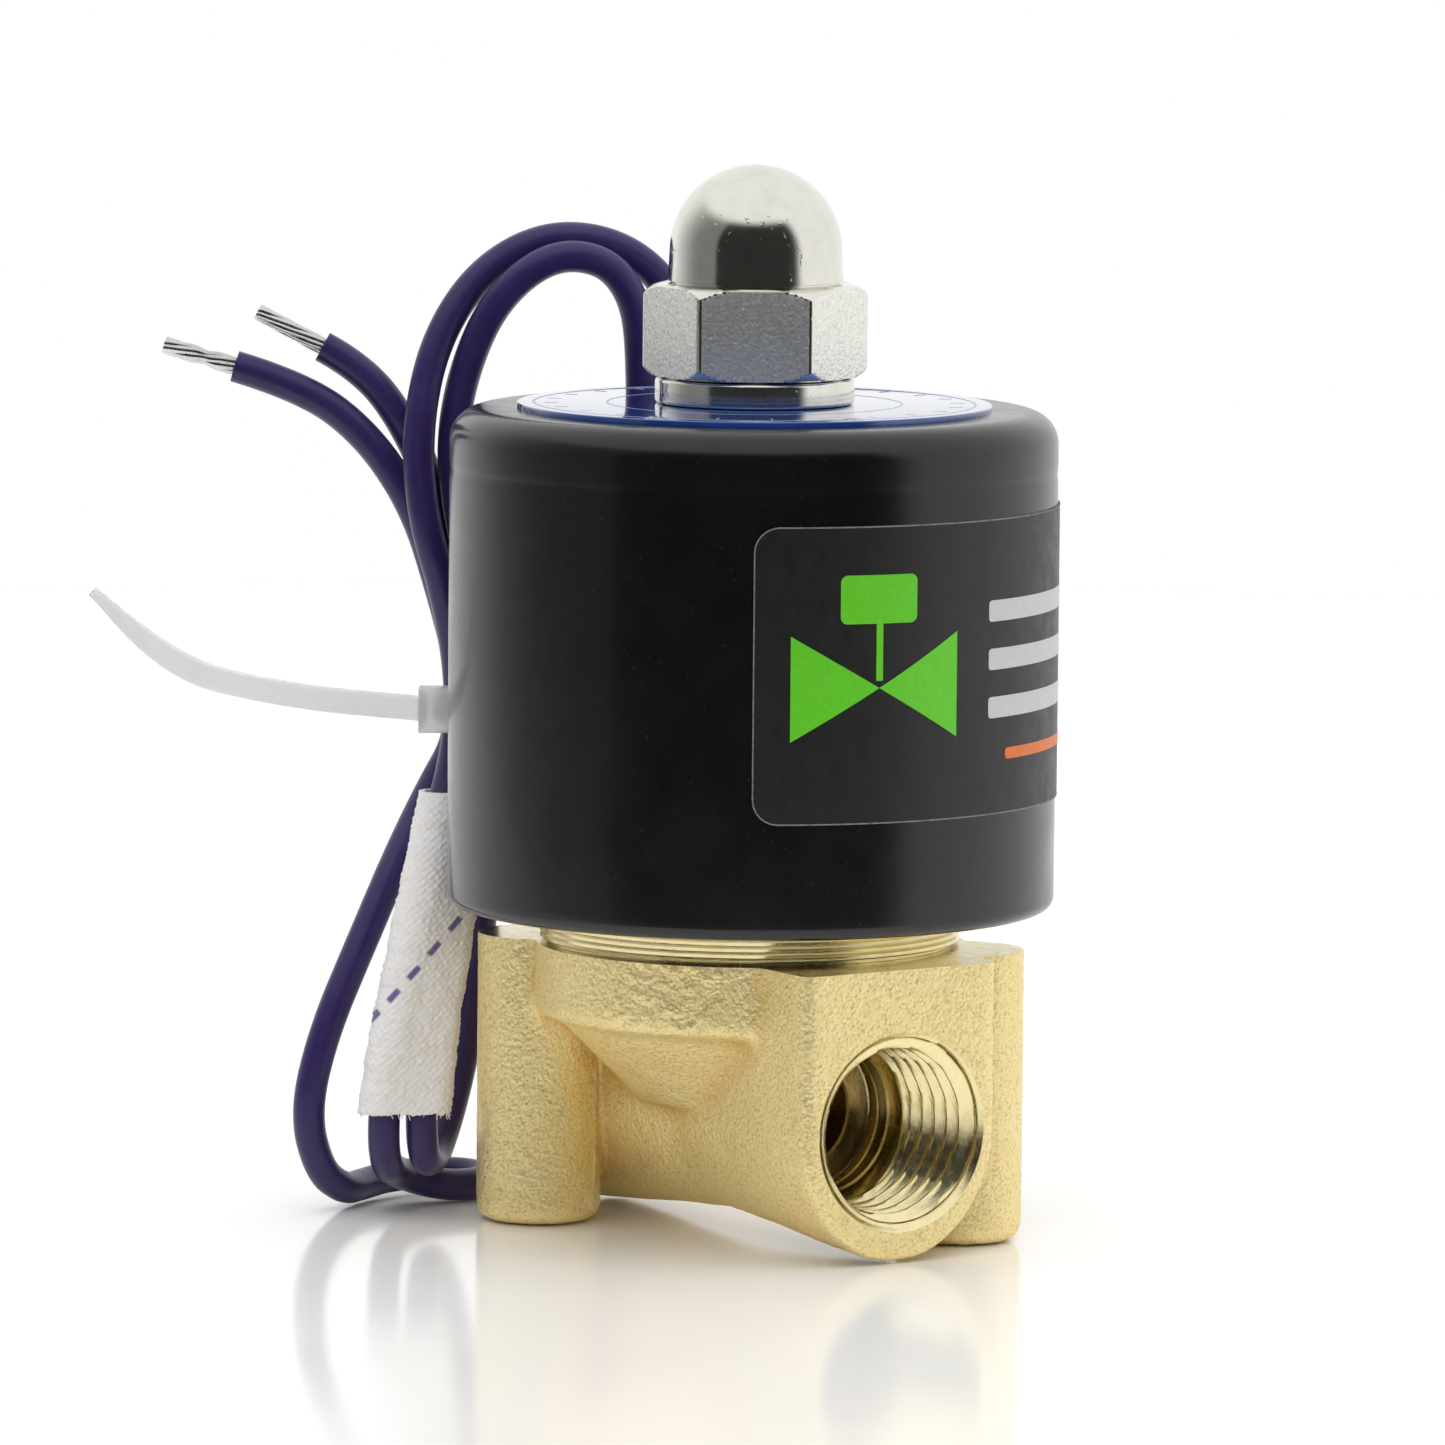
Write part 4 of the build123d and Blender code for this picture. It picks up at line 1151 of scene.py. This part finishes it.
def frayed_ends():
    """Loose fibres at the sleeve's lower end."""
    stations = np.array(SLEEVE_SECTIONS, float)
    low, x, y, turn = stations[0]
    turn = math.radians(turn)
    wide = np.array((math.cos(turn), math.sin(turn), 0))
    deep = np.array((-math.sin(turn), math.cos(turn), 0))
    pieces = []
    for fibre in range(46):
        a, b, out_a, out_b = stadium(random.random(), SLEEVE_WIDTH - 0.3, SLEEVE_DEPTH - 0.3)
        root = np.array((x, y, low + 0.3)) + wide * a + deep * b
        lean = wide * (out_a * 0.25 + random.uniform(-0.35, 0.35)) + deep * (out_b * 0.25 + random.uniform(-0.35, 0.35))
        length = random.uniform(0.35, 0.85)
        centres = [root + np.array((0, 0, -1.0)) * length * s + lean * length * s * s for s in (0, 0.35, 0.7, 1.0)]

        def section(step, turn):
            if turn is None:
                return 5
            angle = TAU * turn / 5
            return 0.035 * math.cos(angle), 0.035 * math.sin(angle)

        axes = (np.array((1.0, 0, 0)), np.array((0, 1.0, 0)))
        pieces.append(tube(f"fibre_{fibre}", centres, [axes] * 4, section))
    fibres = coat(joined("sleeve_fibres", pieces), "glass_braid")
    # loose fibres carry no painted shade and no tracer
    for name, value in (("weave_shade", 1.0), ("tracer", 0.0)):
        layer = fibres.data.attributes.new(name, "FLOAT", "POINT")
        layer.data.foreach_set("value", [value] * len(fibres.data.vertices))
    return mount(fibres, "coil", "glass_braid")


# the tie's own frame: the way its tail leaves, across the bundle, and up
TIE_TURN = math.radians(235.5)
TIE_OUT = np.array((math.cos(TIE_TURN), math.sin(TIE_TURN), 0))
TIE_ACROSS = np.array((-math.sin(TIE_TURN), math.cos(TIE_TURN), 0))
TIE_UP = np.array((0, 0, 1.0))
TIE_AT = np.array((-24.5, -7.42, 35.9))
TIE_HEAD = (2.9, 3.95)
TIE_TAIL = (                  # centreline of the tail from the head, and its width there
    ((3.4, 3.95, 0.0), 1.8),
    ((11.3, 3.0, 0.6), 1.8),
    ((17.8, 2.0, 1.6), 1.8),
    ((21.1, 1.5, 2.7), 1.8),
    ((24.3, 1.2, 4.8), 1.5),
    ((27.9, 1.1, 8.1), 0.7),
)


def tie_place(x, y, z):
    return TIE_AT + TIE_OUT * x + TIE_ACROSS * y + TIE_UP * z


def band(name, centres, widths, thick, teeth=0.0, closed=False):
    """Flat strap with rounded edges and a ladder of teeth along one face."""
    centres = np.array(centres)
    count = len(centres)
    if closed:
        along = np.roll(centres, -1, axis=0) - np.roll(centres, 1, axis=0)
    else:
        along = np.gradient(centres, axis=0)
    along /= np.linalg.norm(along, axis=1)[:, None]
    reach = np.concatenate(([0], np.cumsum(np.linalg.norm(np.diff(centres, axis=0), axis=1))))
    frames = []
    for direction in along:
        flat = np.cross(direction, TIE_UP)
        flat /= np.linalg.norm(flat)
        frames.append((flat, np.cross(flat, direction)))

    def section(step, turn):
        if turn is None:
            return 20
        angle = TAU * (turn + 0.5) / 20
        a, b = math.cos(angle), math.sin(angle)
        half_thick, half_wide = thick / 2, widths[step] / 2
        corner = 0.34
        x = math.copysign(abs(a) ** corner, a) * half_thick
        y = math.copysign(abs(b) ** corner, b) * half_wide
        tooth = abs((reach[step] / 0.95) % 1.0 - 0.5) * 2
        if x > 0 and abs(y) < half_wide * 0.72:
            x -= teeth * float(smooth_step(tooth, 0.35, 0.6))
        return x, y

    strap = tube(name, list(centres) + ([centres[0]] if closed else []),
                 frames + ([frames[0]] if closed else []),
                 lambda step, turn: section(step % count, turn) if turn is not None else 20, cap=not closed, sharp=50)
    return strap


def smooth_line(points, steps):
    """Catmull-Rom line through points of any dimension."""
    points = [np.array(point, float) for point in points]
    points = [2 * points[0] - points[1]] + points + [2 * points[-1] - points[-2]]
    line = []
    for p0, p1, p2, p3 in zip(points, points[1:], points[2:], points[3:]):
        for s in np.linspace(0, 1, steps, endpoint=False):
            line.append(0.5 * (2 * p1 + (p2 - p0) * s + (2 * p0 - 5 * p1 + 4 * p2 - p3) * s**2
                               + (3 * p1 - p0 - 3 * p2 + p3) * s**3))
    line.append(points[-2])
    return np.array(line)


def tie():
    """Nylon cable tie: strap round the bundle, head with its window, and the toothed tail."""
    loop = []
    for x, y in rounded_box(-2.85, -2.85, 2.85, 2.85, 1.6):
        loop.append(tie_place(x, y, 0))
    strap = band("tie_loop", loop, [1.8] * len(loop), 0.75, closed=True)

    head = bmesh.new()
    bmesh.ops.create_cube(head, size=1.0)
    for vertex in head.verts:
        vertex.co = Vector((vertex.co.x * 2.6, vertex.co.y * 2.9, vertex.co.z * 3.2))
    outer = [face for face in head.faces if abs(face.normal.x) > 0.9]
    inset = bmesh.ops.inset_individual(head, faces=outer, thickness=0.62)
    for face in outer:
        bmesh.ops.translate(head, verts=face.verts, vec=Vector((-0.5, 0, 0)) * math.copysign(1, face.normal.x))
    bmesh.ops.bevel(head, geom=head.edges[:], offset=0.22, segments=4, affect="EDGES", profile=0.5)
    for vertex in head.verts:
        vertex.co = Vector(tie_place(vertex.co.x + TIE_HEAD[0], vertex.co.y + TIE_HEAD[1], vertex.co.z)) * MM
    bmesh.ops.recalc_face_normals(head, faces=head.faces)
    mesh = bpy.data.meshes.new("tie_head")
    head.to_mesh(mesh)
    head.free()
    mesh.shade_smooth()
    block = bpy.data.objects.new("tie_head", mesh)
    bpy.context.scene.collection.objects.link(block)

    line = smooth_line([(*place, width) for place, width in TIE_TAIL], 44)
    tail = band("tie_tail", [tie_place(x, y, z) for x, y, z, _ in line], line[:, 3], 0.75, 0.16)
    for piece in (strap, block, tail):
        coat(piece, "nylon")
        mount(piece, "coil", "nylon", *(["cable_tie"] if piece is strap else []))
    return [strap, block, tail]


def cords():
    """Both leads with the pieces on them."""
    tips = {
        "a": strands("tip_strands_a", LEAD_A, straight_tip, "lead_tip_a"),
        "b": strands("tip_strands_b", LEAD_B, kinked_tip, "lead_tip_b"),
    }
    shared = [sleeve(), frayed_ends(), *tie()]
    lead("lead_wire_a_skin", LEAD_A)
    lead("lead_wire_b_skin", LEAD_B)


# ---------------------------------------------------------------- return spring
SPRING_WIRE_R = 0.35
SPRING_R = 2.2
SPRING_TURNS = 6
SPRING_STEPS = 36             # steps in one turn


def spring():
    """The return spring, held at its top: a fixed helix of round wire between the ends of its CAD node."""
    low, high = span("return_spring")
    bottom, top = low.z + SPRING_WIRE_R, high.z - SPRING_WIRE_R
    steps = SPRING_STEPS * SPRING_TURNS
    centres, frames = [], []
    for step in range(steps + 1):
        angle = TAU * step / SPRING_STEPS
        out = np.array((math.cos(angle), math.sin(angle), 0.0))
        round_axis = np.array((-math.sin(angle), math.cos(angle), 0.0))
        along = round_axis * TAU * SPRING_R * SPRING_TURNS + np.array((0, 0, top - bottom))
        along /= np.linalg.norm(along)
        centres.append(out * SPRING_R + np.array((0, 0, bottom + (top - bottom) * step / steps)))
        frames.append((out, np.cross(along, out)))

    def section(step, turn):
        if turn is None:
            return 12
        angle = TAU * turn / 12
        return SPRING_WIRE_R * math.cos(angle), SPRING_WIRE_R * math.sin(angle)

    coils = coat(tube("return_coils", centres, frames, section), "spring_steel")
    mount(coils, "valve", "spring_steel", "return_spring")
    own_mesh(coils)


# ---------------------------------------------------------------- inner pieces keep their CAD shapes
INNER = {
    "armature_tube": "tube_steel", "bonnet_o_ring": "seal_rubber", "fixed_core": "core_steel",
    "shading_ring": "copper", "plunger": "core_steel", "plunger_seal": "seal_rubber",
    "yoke_base_plate": "zinc_plate", "coil_bobbin": "bobbin_plastic",
    "coil_winding": "winding_copper", "winding_tape": "tape", "potting_resin": "resin",
    "lead_splices": "copper", "lead_grommet": "grommet_rubber",
}


def inner_finishes():
    for name, finish in INNER.items():
        for place in frame["nodes"][name].material_slots:
            place.link = "OBJECT"
            place.material = FINISH[finish]


# ---------------------------------------------------------------- floor, world and lights
def floor():
    """Glossy white table, big enough for the picture and no bigger."""
    made = Finish("table_top", (0.965, 0.96, 0.955), 0.14, 0.0, IOR=1.45)
    made.gloss(made.noise(30.0), 0.11, 0.16)
    made.tint(made.level(made.noise(60.0), 0.4, 0.7, 0.0, 0.4), (0.97, 0.965, 0.96))
    work = bmesh.new()
    bmesh.ops.create_circle(work, cap_ends=True, segments=128, radius=0.30)
    mesh = bpy.data.meshes.new("table_top")
    work.to_mesh(mesh)
    work.free()
    table = bpy.data.objects.new("table_top", mesh)
    table.location = (-0.148, 0.102, -0.00005)
    mesh.materials.append(made.material)
    bpy.context.scene.collection.objects.link(table)


def world():
    """White studio, with a dark room behind the photographer for the metal to reflect."""
    sky = bpy.data.worlds.new("studio")
    bpy.context.scene.world = sky
    sky.use_nodes = True
    tree = sky.node_tree
    back = tree.nodes["Background"]
    place = tree.nodes.new("ShaderNodeTexCoord")
    front = tree.nodes.new("ShaderNodeVectorMath")
    front.operation = "DOT_PRODUCT"
    front.inputs[1].default_value = (0.824, -0.566, 0)
    tree.links.new(place.outputs["Generated"], front.inputs[0])
    ahead = tree.nodes.new("ShaderNodeMapRange")
    ahead.interpolation_type = "SMOOTHSTEP"
    ahead.inputs["From Min"].default_value = 0.40
    ahead.inputs["From Max"].default_value = 0.62
    tree.links.new(front.outputs["Value"], ahead.inputs["Value"])
    height = tree.nodes.new("ShaderNodeSeparateXYZ")
    tree.links.new(place.outputs["Generated"], height.inputs[0])
    low = tree.nodes.new("ShaderNodeMapRange")
    low.interpolation_type = "SMOOTHSTEP"
    low.inputs["From Min"].default_value = 0.72
    low.inputs["From Max"].default_value = 0.55
    tree.links.new(height.outputs["Z"], low.inputs["Value"])
    dark = tree.nodes.new("ShaderNodeMath")
    dark.operation = "MULTIPLY"
    tree.links.new(ahead.outputs["Result"], dark.inputs[0])
    tree.links.new(low.outputs["Result"], dark.inputs[1])
    aside = tree.nodes.new("ShaderNodeVectorMath")
    aside.operation = "DOT_PRODUCT"
    aside.inputs[1].default_value = (0.182, -0.983, 0)
    tree.links.new(place.outputs["Generated"], aside.inputs[0])
    fading = tree.nodes.new("ShaderNodeMapRange")
    fading.interpolation_type = "SMOOTHSTEP"
    fading.inputs["From Min"].default_value = -0.15
    fading.inputs["From Max"].default_value = 0.85
    fading.inputs["To Max"].default_value = 0.80
    tree.links.new(aside.outputs["Value"], fading.inputs["Value"])
    both = tree.nodes.new("ShaderNodeMath")
    both.operation = "MULTIPLY"
    tree.links.new(fading.outputs["Result"], both.inputs[0])
    tree.links.new(low.outputs["Result"], both.inputs[1])
    darker = tree.nodes.new("ShaderNodeMath")
    darker.operation = "MAXIMUM"
    tree.links.new(dark.outputs[0], darker.inputs[0])
    tree.links.new(both.outputs[0], darker.inputs[1])
    seen = tree.nodes.new("ShaderNodeLightPath")
    unseen = tree.nodes.new("ShaderNodeMath")
    unseen.operation = "SUBTRACT"
    unseen.inputs[0].default_value = 1.0
    tree.links.new(seen.outputs["Is Camera Ray"], unseen.inputs[1])
    amount = tree.nodes.new("ShaderNodeMath")
    amount.operation = "MULTIPLY"
    tree.links.new(darker.outputs[0], amount.inputs[0])
    tree.links.new(unseen.outputs[0], amount.inputs[1])
    mix = tree.nodes.new("ShaderNodeMix")
    mix.data_type = "RGBA"
    mix.inputs[6].default_value = (1, 1, 1, 1)
    mix.inputs[7].default_value = (0.03, 0.03, 0.03, 1)
    tree.links.new(amount.outputs[0], mix.inputs[0])
    tree.links.new(mix.outputs[2], back.inputs["Color"])
    back.inputs["Strength"].default_value = 1.0


def softbox(name, place, aim, size, watts):
    data = bpy.data.lights.new(name, "AREA")
    data.shape = "RECTANGLE"
    data.size, data.size_y = size
    data.energy = watts
    lamp = bpy.data.objects.new(name, data)
    lamp.location = place
    lamp.visible_glossy = False
    lamp.rotation_euler = (Vector(aim) - Vector(place)).to_track_quat("-Z", "Y").to_euler()
    bpy.context.scene.collection.objects.link(lamp)


def lights():
    softbox("top_light", (0.15, -0.1, 0.9), (0, 0, 0.03), (0.9, 0.9), 3.8)
    softbox("left_light", (-0.45, -0.75, 0.30), (0, 0, 0.03), (0.25, 0.7), 0.5)
    softbox("right_light", (0.55, 0.65, 0.35), (0, 0, 0.03), (0.35, 0.6), 0.35)
    softbox("front_light", (0.62, -0.55, 0.30), (0, 0, 0.02), (0.5, 0.5), 1.7)


# ---------------------------------------------------------------- the whole scene
scene = bpy.context.scene
scene.view_settings.view_transform = "Standard"
FINISH = materials()
camera()
cords()
inner_finishes()
casting()
port_liner("port_thread_out", 1)
port_liner("port_thread_in", -1)
bonnet()
can()
disc()
label()
washer()
nut()
spring()
floor()
world()
lights()
